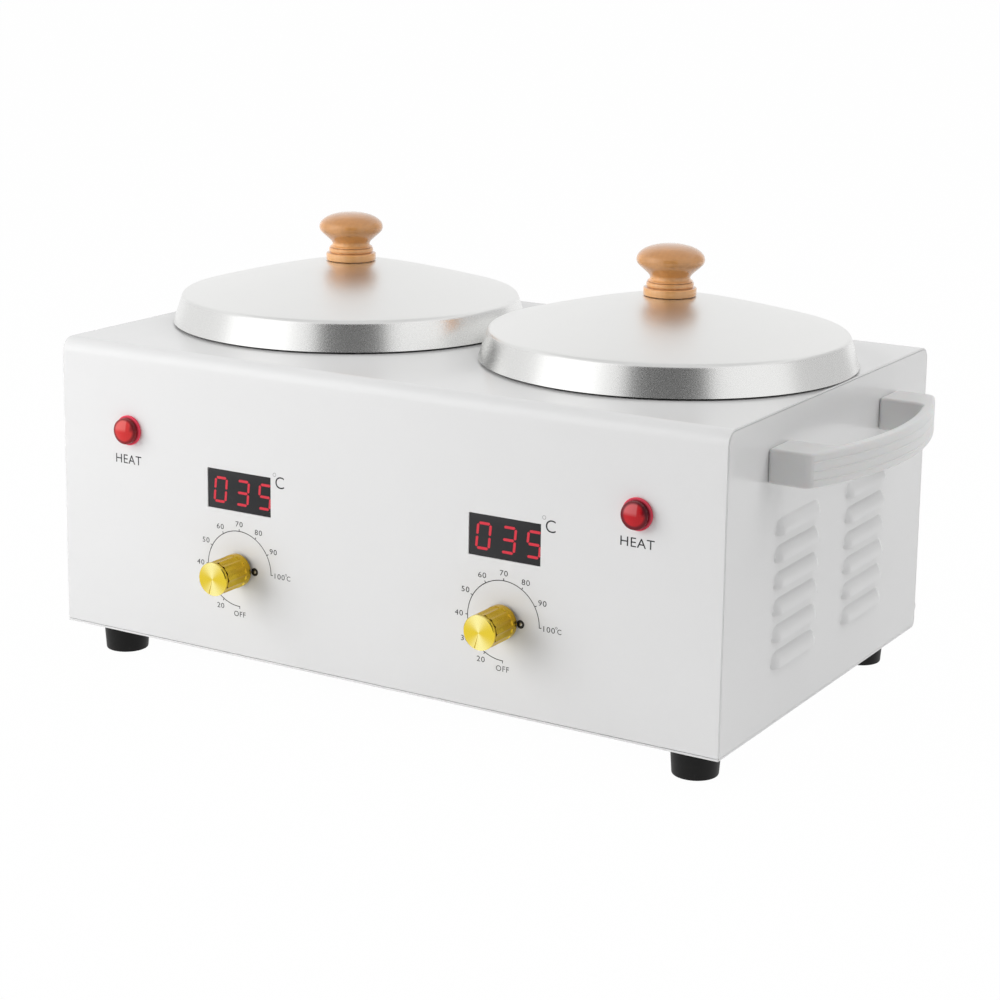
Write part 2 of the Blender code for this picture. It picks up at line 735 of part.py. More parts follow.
def handle(label, side):
    """A moulded plastic handle: two hollow-screwed legs and a bowed grip with finger grooves."""
    outline = [(-x, y) for x, y in handle_outline()]
    grip = flat_piece("handle_" + label, outline, HANDLE_HEIGHT, white_plastic())
    grip.location = (side * HALF_WIDTH, 0, handle_middle())
    grip.rotation_euler.z = math.pi if side > 0 else 0
    round_edges(grip, HANDLE_EDGE, segments=1, angle=50)
    centre, radius = bow(HANDLE_REACH, HANDLE_LEG_REACH, HANDLE_SPAN)
    turns = round(2 * math.pi / HANDLE_ARC_STEP)
    for groove in range(HANDLE_GROOVES):
        height = (groove - (HANDLE_GROOVES - 1) / 2) * HANDLE_GROOVE_PITCH
        bpy.ops.mesh.primitive_torus_add(
            major_radius=radius + HANDLE_GROOVE_RADIUS - HANDLE_GROOVE_DEPTH,
            minor_radius=HANDLE_GROOVE_RADIUS, major_segments=turns, minor_segments=GROOVE_FACETS)
        ring = bpy.context.object
        ring.name = f"grip_groove_{label}_{groove}"
        ring.parent = case_frame()
        ring.location = (side * (HALF_WIDTH + centre), 0, handle_middle() + height)
        ring.rotation_euler.z = grip.rotation_euler.z
        ring.hide_render = True
        ring.display_type = 'WIRE'
        for group in list(ring.users_collection):
            group.objects.unlink(ring)
        collection("cutters").objects.link(ring)
        cut(grip, ring)
    depth = HANDLE_SCREW_LENGTH - SHEET
    holes = [(SCREW_RADIUS + PIECE_GAP, 2 * depth, (side * HALF_WIDTH, y, handle_middle()))
             for y in handle_screw_places()]
    cut(grip, rods("handle_screw_bores_" + label, holes, 'X', facets=SCREW_FACETS))
    return smooth(grip)


def pan_screw(name, length, place, turn, radius=SCREW_RADIUS, head_radius=SCREW_HEAD_RADIUS,
              head=SCREW_HEAD, nut=None):
    """A pan-head screw along local Z, its shank down from the origin, with an optional nut."""
    profile = [(0, head), (head_radius * SCREW_CROWN_SHARE, head),
               (head_radius, head * SCREW_SHOULDER_SHARE), (head_radius, 0), (radius, 0)]
    if nut:
        nut_radius, nut_height, nut_top = nut
        profile += [(radius, -nut_top), (nut_radius, -nut_top), (nut_radius, -nut_top - nut_height),
                    (radius, -nut_top - nut_height)]
    profile += [(radius, -length), (0, -length)]
    return turned(name, profile, zinc_steel(), place, turn, facets=SCREW_FACETS)


def handle_screws():
    """Screws from inside the case through each side panel into the handle legs."""
    for label, side in SIDES.items():
        for end, y in zip(("front", "back"), handle_screw_places()):
            place = (side * (HALF_WIDTH - SHEET - PIECE_GAP), y, handle_middle())
            turn = (0, -side * math.pi / 2, 0)
            pan_screw(f"handle_screw_{label}_{end}", HANDLE_SCREW_LENGTH - PIECE_GAP, place, turn)


def base_screws():
    """Screws that hold the base plate to the flanges of the side panels."""
    for (x, y), label in zip(base_screw_places(), SIDES):
        pan_screw(f"base_screw_{label}_front", BASE_SCREW_LENGTH, (x, y, -PIECE_GAP), (math.pi, 0, 0))
    for label, side in SIDES.items():
        place = (side * (HALF_WIDTH - PANEL_FLANGE / 2), HALF_DEPTH + PIECE_GAP, back_screw_height())
        pan_screw(f"base_screw_{label}_back", BASE_SCREW_LENGTH, place, (-math.pi / 2, 0, 0))


def feet():
    """Four tapered rubber feet, each with its screw recessed from below and nutted inside."""
    names = ("left_front", "right_front", "left_back", "right_back")
    for name, (x, y) in zip(names, foot_places()):
        bore = SCREW_RADIUS + PIECE_GAP
        top, bottom = -PIECE_GAP, -FOOT_HEIGHT
        seat = bottom + FOOT_RECESS_DEPTH
        profile = [(bore, top), (FOOT_TOP_RADIUS, top), (FOOT_BOTTOM_RADIUS, bottom + FOOT_EDGE),
                   (FOOT_BOTTOM_RADIUS - FOOT_EDGE, bottom), (FOOT_RECESS_RADIUS, bottom),
                   (FOOT_RECESS_RADIUS, seat), (bore, seat)]
        turned("foot_" + name, profile, black_rubber(), (x, y, 0), facets=HIDDEN_FACETS, closed=True)
        place = (x, y, seat - PIECE_GAP)
        inside = SHEET + PIECE_GAP - seat + PIECE_GAP
        pan_screw("foot_screw_" + name, inside + FOOT_SCREW_REACH, place, (math.pi, 0, 0),
                  nut=(FOOT_NUT_RADIUS, FOOT_NUT_HEIGHT, inside))


def pot_place(side):
    """Return the place of the axis that the well, pot and lid of one side share."""
    return (side * POT_SPACING / 2, WELL_SETBACK, 0)


def well(label, side):
    """A fixed aluminium heating well, hung by its flange in the case top, with a stud beneath."""
    inner = WELL_RADIUS - WELL_WALL
    floor = WELL_FLOOR + WELL_WALL
    corner = WELL_CORNER - WELL_WALL
    seat = CASE_HEIGHT + PIECE_GAP
    stud_end = WELL_FLOOR - HEATER_THICKNESS - CLAMP_THICKNESS - CLAMP_NUT_HEIGHT - 3 * PIECE_GAP
    profile = [(0, floor)]
    profile += arc((inner - corner, floor + corner), corner, -90, 0, 2)
    profile += [(inner, seat + WELL_WALL), (WELL_RADIUS + WELL_FLANGE, seat + WELL_WALL),
                (WELL_RADIUS + WELL_FLANGE, seat), (WELL_RADIUS, seat)]
    profile += arc((WELL_RADIUS - WELL_CORNER, WELL_FLOOR + WELL_CORNER), WELL_CORNER, 0, -90, 2)
    profile += [(WELL_STUD_RADIUS, WELL_FLOOR), (WELL_STUD_RADIUS, stud_end), (0, stud_end)]
    return turned("well_" + label, profile, bare_aluminium(), pot_place(side),
                  facets=WELL_FACETS)


def pot(label, side):
    """The removable wax pot, with a rolled rim that stands proud of the case and carries the lid."""
    base = WELL_FLOOR + WELL_WALL + PIECE_GAP
    inner = POT_RADIUS - POT_WALL
    outer_corner = WELL_CORNER - WELL_WALL
    inner_corner = outer_corner - POT_WALL
    floor = base + POT_WALL
    rim = POT_RADIUS + POT_RIM_WIDTH
    roll = POT_RIM_HEIGHT / 2
    profile = [(0, floor)]
    profile += arc((inner - inner_corner, floor + inner_corner), inner_corner, -90, 0, 2)
    profile += [(inner, POT_RIM_TOP)]
    profile += arc((rim - roll, POT_RIM_TOP - roll), roll, 90, -90, 3)
    profile += [(POT_RADIUS, POT_RIM_TOP - POT_RIM_HEIGHT)]
    profile += arc((POT_RADIUS - outer_corner, base + outer_corner), outer_corner, 0, -90, 2)
    profile += [(0, base)]
    return turned("pot_" + label, profile, bare_aluminium(), pot_place(side),
                  facets=WELL_FACETS)


def lid_dome(radius):
    """Return the height of the lid's top at this radius, above its shoulder."""
    flat_edge = LID_SHOULDER_RADIUS - LID_SHOULDER_ROUND
    share = (radius - LID_SEAT_RADIUS) / (flat_edge - LID_SEAT_RADIUS)
    return LID_RISE * (1 - share ** LID_DOME_POWER)


def lid(label, side):
    """A spun lid: a low dome, a rounded shoulder and a skirt that flares over the pot's rim."""
    seat = LID_TOP + LID_RISE
    flat_edge = LID_SHOULDER_RADIUS - LID_SHOULDER_ROUND
    profile = [(LID_SCREW_RADIUS + PIECE_GAP, seat)]
    for step in range(LID_DOME_STEPS):
        radius = LID_SEAT_RADIUS + (flat_edge - LID_SEAT_RADIUS) * step / LID_DOME_STEPS
        profile.append((radius, LID_TOP + lid_dome(radius)))
    profile += arc((flat_edge, LID_TOP - LID_SHOULDER_ROUND), LID_SHOULDER_ROUND, 90, 10, 2)
    profile += [(LID_RADIUS, LID_TOP - LID_SKIRT)]
    return turned("lid_" + label, profile, bare_aluminium(), pot_place(side),
                  facets=LID_FACETS, wall=LID_SHEET)


def lid_grip(label, side):
    """The turned wooden knob: mushroom cap, waisted neck and a stepped foot."""
    base = LID_TOP + LID_RISE + PIECE_GAP
    level = {name: base + GRIP_HEIGHT * share for name, share in GRIP_LEVEL_SHARES.items()}
    bore = LID_SCREW_RADIUS + PIECE_GAP
    depth = base + LID_SCREW_DEPTH
    profile = [(0, base + GRIP_HEIGHT)]
    profile += [(GRIP_RADIUS * out, base + GRIP_HEIGHT * up) for out, up in GRIP_CAP_SHARES]
    profile += [(GRIP_NECK_RADIUS, level["waist"]), (GRIP_NECK_RADIUS, level["neck"]),
                (GRIP_RING_RADIUS, level["ring"]), (GRIP_RING_RADIUS, level["step"]),
                (GRIP_FOOT_RADIUS, level["step"]), (GRIP_FOOT_RADIUS, base), (bore, base),
                (bore, depth), (0, depth)]
    return turned("lid_knob_" + label, profile, lacquered_wood(), pot_place(side),
                  facets=GRIP_FACETS)


def lid_screw(label, side):
    """The screw from under the lid into its wooden knob."""
    under = LID_TOP + LID_RISE - LID_SHEET - PIECE_GAP
    length = LID_SCREW_DEPTH + LID_SHEET
    place = (side * POT_SPACING / 2, WELL_SETBACK, under)
    return pan_screw("lid_screw_" + label, length, place, (math.pi, 0, 0),
                     radius=LID_SCREW_RADIUS, head_radius=LID_SCREW_HEAD_RADIUS, head=LID_SCREW_HEAD)


def heating(label, side):
    """A plate heater pressed to the well's floor by a clamp bar, and the thermal cut-out beside it."""
    x, y = side * POT_SPACING / 2, WELL_SETBACK
    bore = WELL_STUD_RADIUS + PIECE_GAP
    top = WELL_FLOOR - PIECE_GAP
    bottom = top - HEATER_THICKNESS
    ring = [(bore, top), (HEATER_RADIUS, top), (HEATER_RADIUS, bottom), (bore, bottom)]
    turned("heater_" + label, ring, heater_mica(), (x, y, 0), closed=True)

    bar_top = bottom - PIECE_GAP
    bar_middle = bar_top - CLAMP_THICKNESS / 2
    nut_bottom = bar_top - CLAMP_THICKNESS - CLAMP_NUT_HEIGHT
    bar = boxes("heater_clamp_" + label, [((CLAMP_LENGTH, CLAMP_WIDTH, CLAMP_THICKNESS), (0, 0, 0))],
                zinc_steel(), (x, y, bar_middle))
    nut_height = CLAMP_NUT_HEIGHT + CLAMP_THICKNESS / 2
    nut_place = (x, y, nut_bottom + nut_height / 2)
    nut = (CLAMP_NUT_RADIUS, nut_height, nut_place)
    fuse(bar, rods("clamp_nut_" + label, [nut], 'Z', facets=HEX_FACETS))
    hole = (bore, 2 * (CLAMP_THICKNESS + 2 * CLAMP_NUT_HEIGHT), (x, y, bar_middle))
    cut(bar, rods("clamp_bore_" + label, [hole], 'Z', facets=SMALL_FACETS))

    inward = x - side * CUTOUT_OFFSET
    disc = (CUTOUT_RADIUS, HEATER_THICKNESS, (inward, y, top - HEATER_THICKNESS / 2))
    body = rods("thermal_cutout_" + label, [disc], 'Z', black_plastic(), facets=HIDDEN_FACETS)
    reach = 2 * (CUTOUT_RADIUS + CUTOUT_TAB_LENGTH)
    tabs = ((CUTOUT_TAB_WIDTH, reach, CUTOUT_TAB_THICKNESS), (inward, y, bottom + CUTOUT_TAB_RISE))
    fuse(body, boxes("cutout_tabs_" + label, [tabs]))


def display(label, side):
    """The three-digit display module, its face just inside the window in the front panel."""
    width, depth, height = DISPLAY_SIZE
    place = (side * CHANNEL_SPACING / 2, -HALF_DEPTH + DISPLAY_RECESS + depth / 2, DISPLAY_HEIGHT)
    boxes("display_" + label, [((width, depth, height), (0, 0, 0))], black_plastic(), place)


def control_board(label, side):
    """The channel's circuit board, upright behind the display and the potentiometer."""
    low = DIAL_HEIGHT - POT_METER_RADIUS - BOARD_MARGIN
    high = DISPLAY_HEIGHT + DISPLAY_SIZE[2] / 2 + BOARD_MARGIN
    middle = (low + high) / 2
    place = (side * CHANNEL_SPACING / 2, BOARD_FRONT + BOARD_THICKNESS / 2, middle)
    board = boxes("control_board_" + label, [((BOARD_WIDTH, BOARD_THICKNESS, high - low), (0, 0, 0))],
                  board_green(), place)
    back = BOARD_FRONT + BOARD_THICKNESS - SOLDER_BITE
    parts = []
    for size, rise in ((RELAY_SIZE, BOARD_COMPONENT_SPREAD), (SUPPLY_SIZE, -BOARD_COMPONENT_SPREAD)):
        inward = (BOARD_WIDTH - size[0]) / 2 - BOARD_EDGE
        centre = (place[0] - side * inward, back + size[1] / 2, middle + rise)
        parts.append((size, centre))
    fuse(board, boxes("board_components_" + label, parts))


def potentiometer(label, side):
    """The potentiometer: its drum behind the panel, its threaded bush and nut in front, and its tab."""
    x = side * CHANNEL_SPACING / 2
    panel_back = SHEET + PIECE_GAP
    drum_end = BOARD_FRONT - PIECE_GAP + HALF_DEPTH
    nut_back = PIECE_GAP
    bore = SHAFT_RADIUS + SHAFT_CLEARANCE
    bush_end = POT_METER_BUSH_LENGTH - SHEET
    nut_front = nut_back + POT_METER_NUT_HEIGHT
    profile = [(0, -panel_back - SHAFT_SOCKET), (bore, -panel_back - SHAFT_SOCKET),
               (bore, bush_end), (POT_METER_BUSH_RADIUS, bush_end),
               (POT_METER_BUSH_RADIUS, nut_front), (POT_METER_NUT_RADIUS, nut_front),
               (POT_METER_NUT_RADIUS, nut_back), (POT_METER_BUSH_RADIUS, nut_back),
               (POT_METER_BUSH_RADIUS, -panel_back),
               (POT_METER_RADIUS, -panel_back), (POT_METER_RADIUS, -drum_end), (0, -drum_end)]
    meter = turned("potentiometer_" + label, profile, zinc_steel(), (x, -HALF_DEPTH, DIAL_HEIGHT),
                   (math.pi / 2, 0, 0))
    ear = TAB_SIZE + TAB_OFFSET - POT_METER_RADIUS + SHEET
    ear_x = x + TAB_OFFSET + (TAB_SIZE - ear) / 2
    ear_place = (ear_x, -HALF_DEPTH + panel_back + SHEET / 2, DIAL_HEIGHT)
    nib = panel_back + SHEET - PIECE_GAP
    nib_place = (x + TAB_OFFSET, -HALF_DEPTH + PIECE_GAP + nib / 2, DIAL_HEIGHT)
    fuse(meter, boxes("locating_tab_" + label, [((ear, SHEET, TAB_SIZE), ear_place)]))
    fuse(meter, boxes("locating_nib_" + label, [((TAB_SIZE, nib, TAB_SIZE), nib_place)]))


def shaft(label, side):
    """The potentiometer's turning shaft, flattened where the knob grips it."""
    x = side * CHANNEL_SPACING / 2
    inner = -(SHEET + PIECE_GAP + SHAFT_SOCKET - PIECE_GAP)
    profile = [(0, SHAFT_LENGTH), (SHAFT_RADIUS, SHAFT_LENGTH), (SHAFT_RADIUS, inner), (0, inner)]
    spindle = turned("dial_shaft_" + label, profile, zinc_steel(), (x, -HALF_DEPTH, DIAL_HEIGHT),
                     (math.pi / 2, 0, 0))
    flat_length = SHAFT_LENGTH - POT_METER_BUSH_LENGTH
    flat = ((4 * SHAFT_RADIUS, 2 * flat_length, 2 * SHAFT_RADIUS),
            (x, -HALF_DEPTH - SHAFT_LENGTH, DIAL_HEIGHT + 2 * SHAFT_RADIUS - SHAFT_FLAT))
    cut(spindle, boxes("shaft_flat_" + label, [flat]))


def dial_knob(label, side):
    """The gold knob: chamfered face, groove, wide flutes and a plain band, hollow behind the nut."""
    x = side * CHANNEL_SPACING / 2
    back = KNOB_STANDOFF
    front = back + KNOB_LENGTH
    groove = front - KNOB_LIP
    bore = SHAFT_RADIUS + PIECE_GAP
    bore_end = SHAFT_LENGTH + PIECE_GAP
    waist = KNOB_RADIUS - KNOB_GROOVE_DEPTH
    profile = [(0, front), (KNOB_RADIUS - KNOB_EDGE, front), (KNOB_RADIUS, front - KNOB_EDGE),
               (KNOB_RADIUS, groove), (waist, groove), (waist, groove - KNOB_GROOVE_WIDTH),
               (KNOB_RADIUS, groove - KNOB_GROOVE_WIDTH), (KNOB_RADIUS, back),
               (KNOB_RECESS_RADIUS, back), (KNOB_RECESS_RADIUS, back + KNOB_RECESS_DEPTH),
               (bore, back + KNOB_RECESS_DEPTH), (bore, bore_end), (0, bore_end)]
    knob = turned("dial_knob_" + label, profile, gold_aluminium(), (x, -HALF_DEPTH, DIAL_HEIGHT),
                  (math.pi / 2, 0, 0), facets=2 * KNOB_FLUTES)

    fluted_front = groove - KNOB_GROOVE_WIDTH / 2
    fluted_back = back + KNOB_BAND
    reach = KNOB_RADIUS + FLUTE_RADIUS - FLUTE_DEPTH
    length = fluted_front - fluted_back
    middle = -HALF_DEPTH - (fluted_front + fluted_back) / 2
    flutes = []
    for flute in range(KNOB_FLUTES):
        angle = 2 * math.pi * (flute + 0.5) / KNOB_FLUTES
        centre = (x + reach * math.cos(angle), middle, DIAL_HEIGHT + reach * math.sin(angle))
        flutes.append((FLUTE_RADIUS, length, centre))
    cut(knob, rods("flutes_" + label, flutes, 'Y', facets=HEX_FACETS))

    angle = math.radians(270) - DIAL_REST_ANGLE
    mark = ((POINTER_LENGTH + CUT_OVERRUN, 2 * POINTER_DEPTH, POINTER_WIDTH),
            (KNOB_RADIUS + (CUT_OVERRUN - POINTER_LENGTH) / 2, 0, 0))
    face_centre = (x, -HALF_DEPTH - front, DIAL_HEIGHT)
    cut(knob, boxes("pointer_cut_" + label, [mark], None, face_centre, (0, -angle, 0)))


def lamp(label, side):
    """A neon indicator: a red drum lens with a low dome, and its barrel behind the panel."""
    place = (side * LAMP_SPACING / 2, -HALF_DEPTH, LAMP_HEIGHT)
    neck_end = -SHEET - LAMP_NECK_LENGTH
    rim = LAMP_DRUM - (LAMP_RADIUS - LAMP_FACE_RADIUS)
    out, up = LAMP_DOME_SHARES
    profile = [(0, LAMP_DRUM + LAMP_DOME), (LAMP_FACE_RADIUS * out, LAMP_DRUM + LAMP_DOME * up),
               (LAMP_FACE_RADIUS, LAMP_DRUM), (LAMP_RADIUS, rim), (LAMP_RADIUS, PIECE_GAP),
               (LAMP_NECK_RADIUS, PIECE_GAP), (LAMP_NECK_RADIUS, neck_end), (0, neck_end)]
    turned("lamp_lens_" + label, profile, red_lens(), place, (math.pi / 2, 0, 0))
    front = -SHEET - PIECE_GAP
    back = front - LAMP_BARREL_LENGTH
    socket = LAMP_NECK_RADIUS + PIECE_GAP
    floor = neck_end - PIECE_GAP
    barrel = [(0, floor), (socket, floor), (socket, front), (LAMP_BARREL_RADIUS, front),
              (LAMP_BARREL_RADIUS, back), (0, back)]
    turned("lamp_body_" + label, barrel, black_plastic(), place, (math.pi / 2, 0, 0),
           facets=HIDDEN_FACETS)


def mains_inlet():
    """The three-pin mains inlet in the back: a flanged socket, its pins and its screws."""
    flange_width, flange_depth, flange_height = INLET_FLANGE
    body_width, body_depth, body_height = INLET_BODY
    socket_width, socket_depth, socket_height = INLET_SOCKET
    outer = HALF_DEPTH + PIECE_GAP
    flange_place = (INLET_X, outer + flange_depth / 2, INLET_CENTRE_HEIGHT)
    inlet = boxes("mains_inlet", [((flange_width, flange_depth, flange_height), (0, 0, 0))],
                  black_plastic(), flange_place)
    corners = inlet.modifiers.new("corners", 'BEVEL')
    corners.width = INLET_CORNER
    corners.segments = 3
    corners.limit_method = 'WEIGHT'
    weights = inlet.data.attributes.new("bevel_weight_edge", 'FLOAT', 'EDGE')
    for edge in inlet.data.edges:
        ends = [inlet.data.vertices[index].co for index in edge.vertices]
        along = ends[0] - ends[1]
        weights.data[edge.index].value = 1.0 if abs(along.y) > flange_depth / 2 else 0.0
    body_place = (INLET_X, outer + flange_depth / 2 - body_depth / 2, INLET_CENTRE_HEIGHT)
    fuse(inlet, boxes("inlet_body", [(INLET_BODY, body_place)]))
    socket_place = (INLET_X, outer + flange_depth, INLET_CENTRE_HEIGHT)
    cut(inlet, boxes("inlet_socket", [((socket_width, 2 * socket_depth, socket_height), socket_place)]))

    back = body_place[1] - body_depth / 2
    slots = []
    for name, (x, z) in inlet_pin_places().items():
        width, length, height = PIN_SIZE
        start = outer + flange_depth - socket_depth + length
        end = back - PIN_TAIL
        middle = (start + end) / 2
        pin = ((width, start - end, height), (0, 0, 0))
        boxes("inlet_pin_" + name, [pin], zinc_steel(), (x, middle, z))
        slot = (width + 2 * PIECE_GAP, start - end, height + 2 * PIECE_GAP)
        slots.append((slot, (x, middle - PIN_TAIL, z)))
    cut(inlet, boxes("pin_slots", slots))

    shank, head = INLET_SCREW_RADIUS, INLET_SCREW_HEAD_RADIUS
    bore, sink = shank + PIECE_GAP, head + PIECE_GAP
    screw = [(0, 0), (head, 0), (shank, shank - head), (shank, -INLET_SCREW_LENGTH),
             (0, -INLET_SCREW_LENGTH)]
    seat = [(0, CUT_OVERRUN), (sink + CUT_OVERRUN, CUT_OVERRUN), (bore, bore - sink),
            (bore, -2 * flange_depth), (0, -2 * flange_depth)]
    for label, side in SIDES.items():
        place = (INLET_X + side * INLET_SCREW_SPACING / 2, outer + flange_depth, INLET_CENTRE_HEIGHT)
        turn = (-math.pi / 2, 0, 0)
        turned("inlet_screw_" + label, screw, zinc_steel(), place, turn, facets=SCREW_FACETS)
        cut(inlet, turned("inlet_sink_" + label, seat, None, place, turn, facets=SCREW_FACETS))


def inlet_pin_places():
    """Return each inlet pin's (x, z) place."""
    return {
        "live": (INLET_X - PIN_SPACING, INLET_CENTRE_HEIGHT - PIN_RISE),
        "neutral": (INLET_X + PIN_SPACING, INLET_CENTRE_HEIGHT - PIN_RISE),
        "earth": (INLET_X, INLET_CENTRE_HEIGHT + PIN_RISE),
    }


def main():
    """Build the whole warmer."""
    clear_scene()
    case_wrap()
    base_plate()
    feet()
    base_screws()
    handle_screws()
    mains_inlet()
    for label, side in SIDES.items():
        side_panel(label, side)
        handle(label, side)
        well(label, side)
        pot(label, side)
        lid(label, side)
        lid_grip(label, side)
        lid_screw(label, side)
        heating(label, side)
        display(label, side)
        control_board(label, side)
        potentiometer(label, side)
        shaft(label, side)
        dial_knob(label, side)
        lamp(label, side)


main()
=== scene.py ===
"""Looks of the double wax warmer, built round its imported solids.

Metres, in the frame of the solids: +X to the right along the front, +Y to the back, +Z up from the table.
Every piece is made where it belongs, so its object sits at the origin.
"""

from __future__ import annotations

import logging
import math
from dataclasses import dataclass
from enum import Enum
from typing import Iterable, Sequence

import bmesh
import bpy
from mathutils import Matrix, Vector


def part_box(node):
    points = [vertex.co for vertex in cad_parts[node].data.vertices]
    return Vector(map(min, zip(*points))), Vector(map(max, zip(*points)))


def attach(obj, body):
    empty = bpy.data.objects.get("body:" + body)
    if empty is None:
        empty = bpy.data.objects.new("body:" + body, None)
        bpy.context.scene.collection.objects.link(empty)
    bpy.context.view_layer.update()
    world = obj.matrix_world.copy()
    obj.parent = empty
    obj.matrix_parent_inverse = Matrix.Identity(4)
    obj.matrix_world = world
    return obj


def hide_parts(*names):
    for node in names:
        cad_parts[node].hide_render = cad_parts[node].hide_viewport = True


LOG = logging.getLogger("wax_warmer")
MM = 0.001
TINY = 0.000002
LETTER_DEPTH = 0.002
LETTER_WELD = 0.0005
RING_STEPS = 32
FACE_WEIGHT = 100
CORNERS = ("left_front", "right_front", "left_back", "right_back")

Colour = tuple[float, float, float]
Point2 = tuple[float, float]
Point3 = tuple[float, float, float]
Form = bmesh.types.BMesh
Item = bpy.types.Object

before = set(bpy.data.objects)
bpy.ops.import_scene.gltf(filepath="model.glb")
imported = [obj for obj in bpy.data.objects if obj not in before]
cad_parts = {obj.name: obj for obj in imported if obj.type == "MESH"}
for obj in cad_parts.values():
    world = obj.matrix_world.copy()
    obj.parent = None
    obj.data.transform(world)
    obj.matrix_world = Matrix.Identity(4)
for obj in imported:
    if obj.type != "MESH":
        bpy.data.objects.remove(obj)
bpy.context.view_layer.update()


class Side(Enum):
    """The two halves of the warmer, with the sign of their x."""

    LEFT = -1
    RIGHT = 1

    @property
    def label(self) -> str:
        """Return the side's word, which the bodies' names start with."""
        return self.name.lower()

    def of(self, name: str) -> str:
        """Return a name that ends in the side's word, as the nodes' names do."""
        return f"{name}_{self.label}"


# ---- node trees


class Term:
    """One socket of a node tree that takes part in Python arithmetic."""

    def __init__(self, book: NodeBook, socket: bpy.types.NodeSocket) -> None:
        """Keep an output socket, and the book that adds the nodes of an expression."""
        self.book = book
        self.socket = socket

    def _math(self, operation: str, first: Term | float, second: Term | float = 0.0) -> Term:
        """Return the result of a Math node that has this operation and these values or links."""
        return self.book.add("ShaderNodeMath", {"operation": operation}, {0: first, 1: second})

    def __add__(self, other: Term | float) -> Term:
        """Return the sum."""
        return self._math("ADD", self, other)

    __radd__ = __add__

    def __sub__(self, other: Term | float) -> Term:
        """Return the difference."""
        return self._math("SUBTRACT", self, other)

    def __rsub__(self, other: float) -> Term:
        """Return the difference, taken from a number."""
        return self._math("SUBTRACT", other, self)

    def __mul__(self, other: Term | float) -> Term:
        """Return the product."""
        return self._math("MULTIPLY", self, other)

    __rmul__ = __mul__

    def __pow__(self, other: float) -> Term:
        """Return the power."""
        return self._math("POWER", self, other)

    def above(self, edge: float, width: float) -> Term:
        """Return a mask that rises from 0 at the edge to 1 a width further on."""
        settings = {"interpolation_type": "SMOOTHSTEP"}
        return self.book.add("ShaderNodeMapRange", settings, {0: self, 1: edge, 2: edge + width})

    def below(self, edge: float, width: float) -> Term:
        """Return a mask that falls from 1 to 0 at the edge, the other way round from above."""
        return 1.0 - self.above(edge - width, width)

    def within(self, low: float, high: float, width: float) -> Term:
        """Return a mask that is 1 between two edges, with a width to rise and to fall in."""
        return self.above(low, width) * self.below(high, width)

    def largest(self, other: Term | float) -> Term:
        """Return the larger of the two values."""
        return self._math("MAXIMUM", self, other)

    def painted_highlight_wedges(self, across: Term, axis: float) -> Term:
        """Return the mask of a spun face's two wedge-shaped painted highlights about an axis in degrees; this
        is its y, across its x.
        """
        angle = self._math("ARCTAN2", self, across)
        return self._math("COSINE", (angle - math.radians(axis)) * 2.0) * 0.5 + 0.5


class NodeBook:
    """Adds nodes to one node tree."""

    def __init__(self, tree: bpy.types.NodeTree) -> None:
        """Keep the tree that the nodes go in."""
        self.tree = tree

    def add(self, kind: str, settings: dict | None = None, inputs: dict | None = None,
            output: int | str = 0) -> Term:
        """Add a node, set it up and feed it.

        Args:
            kind: The node's type.
            settings: Its own settings.
            inputs: A value or a link for each named or numbered input.
            output: The output that is wanted.

        Returns:
            The wanted output.
        """
        node = self.tree.nodes.new(kind)
        for name, value in (settings or {}).items():
            setattr(node, name, value)
        self.fill(node.inputs, inputs or {})
        return Term(self, node.outputs[output])

    def fill(self, inputs: bpy.types.NodeInputs, values: dict) -> None:
        """Link each named or numbered input to its term, or set its own value.

        Args:
            inputs: A node's inputs.
            values: The term or the value for each of them.
        """
        for key, value in values.items():
            if isinstance(value, Term):
                self.tree.links.new(value.socket, inputs[key])
            else:
                inputs[key].default_value = value

    def place(self) -> Term:
        """Return the Object coordinates."""
        return self.add("ShaderNodeTexCoord", output="Object")

    def stretched(self, vector: Term, scale: Point3) -> Term:
        """Return coordinates that are scaled along each axis."""
        return self.add("ShaderNodeMapping", None, {"Vector": vector, "Scale": scale})

    def noise(self, vector: Term, grain: Grain) -> Term:
        """Return a noise from 0 to 1 at these coordinates."""
        return self.add("ShaderNodeTexNoise", None, {
            "Vector": vector, "Scale": grain.scale, "Detail": grain.layers, "Roughness": grain.strength})

    def mix(self, share: Term | float, first: Colour | Term, second: Colour | Term) -> Term:
        """Return a colour that has this share of the second colour."""
        ends = [(*end, 1) if isinstance(end, tuple) else end for end in (first, second)]
        return self.add("ShaderNodeMix", {"data_type": "RGBA"}, {0: share, 6: ends[0], 7: ends[1]}, 2)

    def bump(self, height: Term, strength: float, depth: float, normal: Term | None = None) -> Term:
        """Return a normal that follows a height from 0 to 1, on top of another normal."""
        values = {"Height": height, "Strength": strength, "Distance": depth}
        return self.add("ShaderNodeBump", None, values | ({"Normal": normal} if normal else {}))

    def turned_place(self) -> TurnedPlace:
        """Read the coordinates that a turned piece keeps from before it was put in its place.

        Returns:
            These coordinates, and those about the piece's own axis.
        """
        own = self.add("ShaderNodeAttribute", {"attribute_name": "own"}, output="Vector")
        parts = self.add("ShaderNodeSeparateXYZ", None, {0: own})
        x, y, height = (Term(self, parts.socket.node.outputs[axis]) for axis in range(3))
        radius = (x * x + y * y) ** 0.5
        return TurnedPlace(own, x, y, radius, height,
                           self.add("ShaderNodeCombineXYZ", None, {0: radius, 1: height}))


@dataclass(frozen=True)
class TurnedPlace:
    """The coordinates of a turned piece: its own, and those about its axis."""

    own: Term
    x: Term
    y: Term
    radius: Term
    height: Term
    rings: Term


@dataclass(frozen=True)
class Grain:
    """A noise: its grains in a metre, how many finer layers it has and how strong they are."""

    scale: float
    layers: float = 2.0
    strength: float = 0.5


# ---- finishes


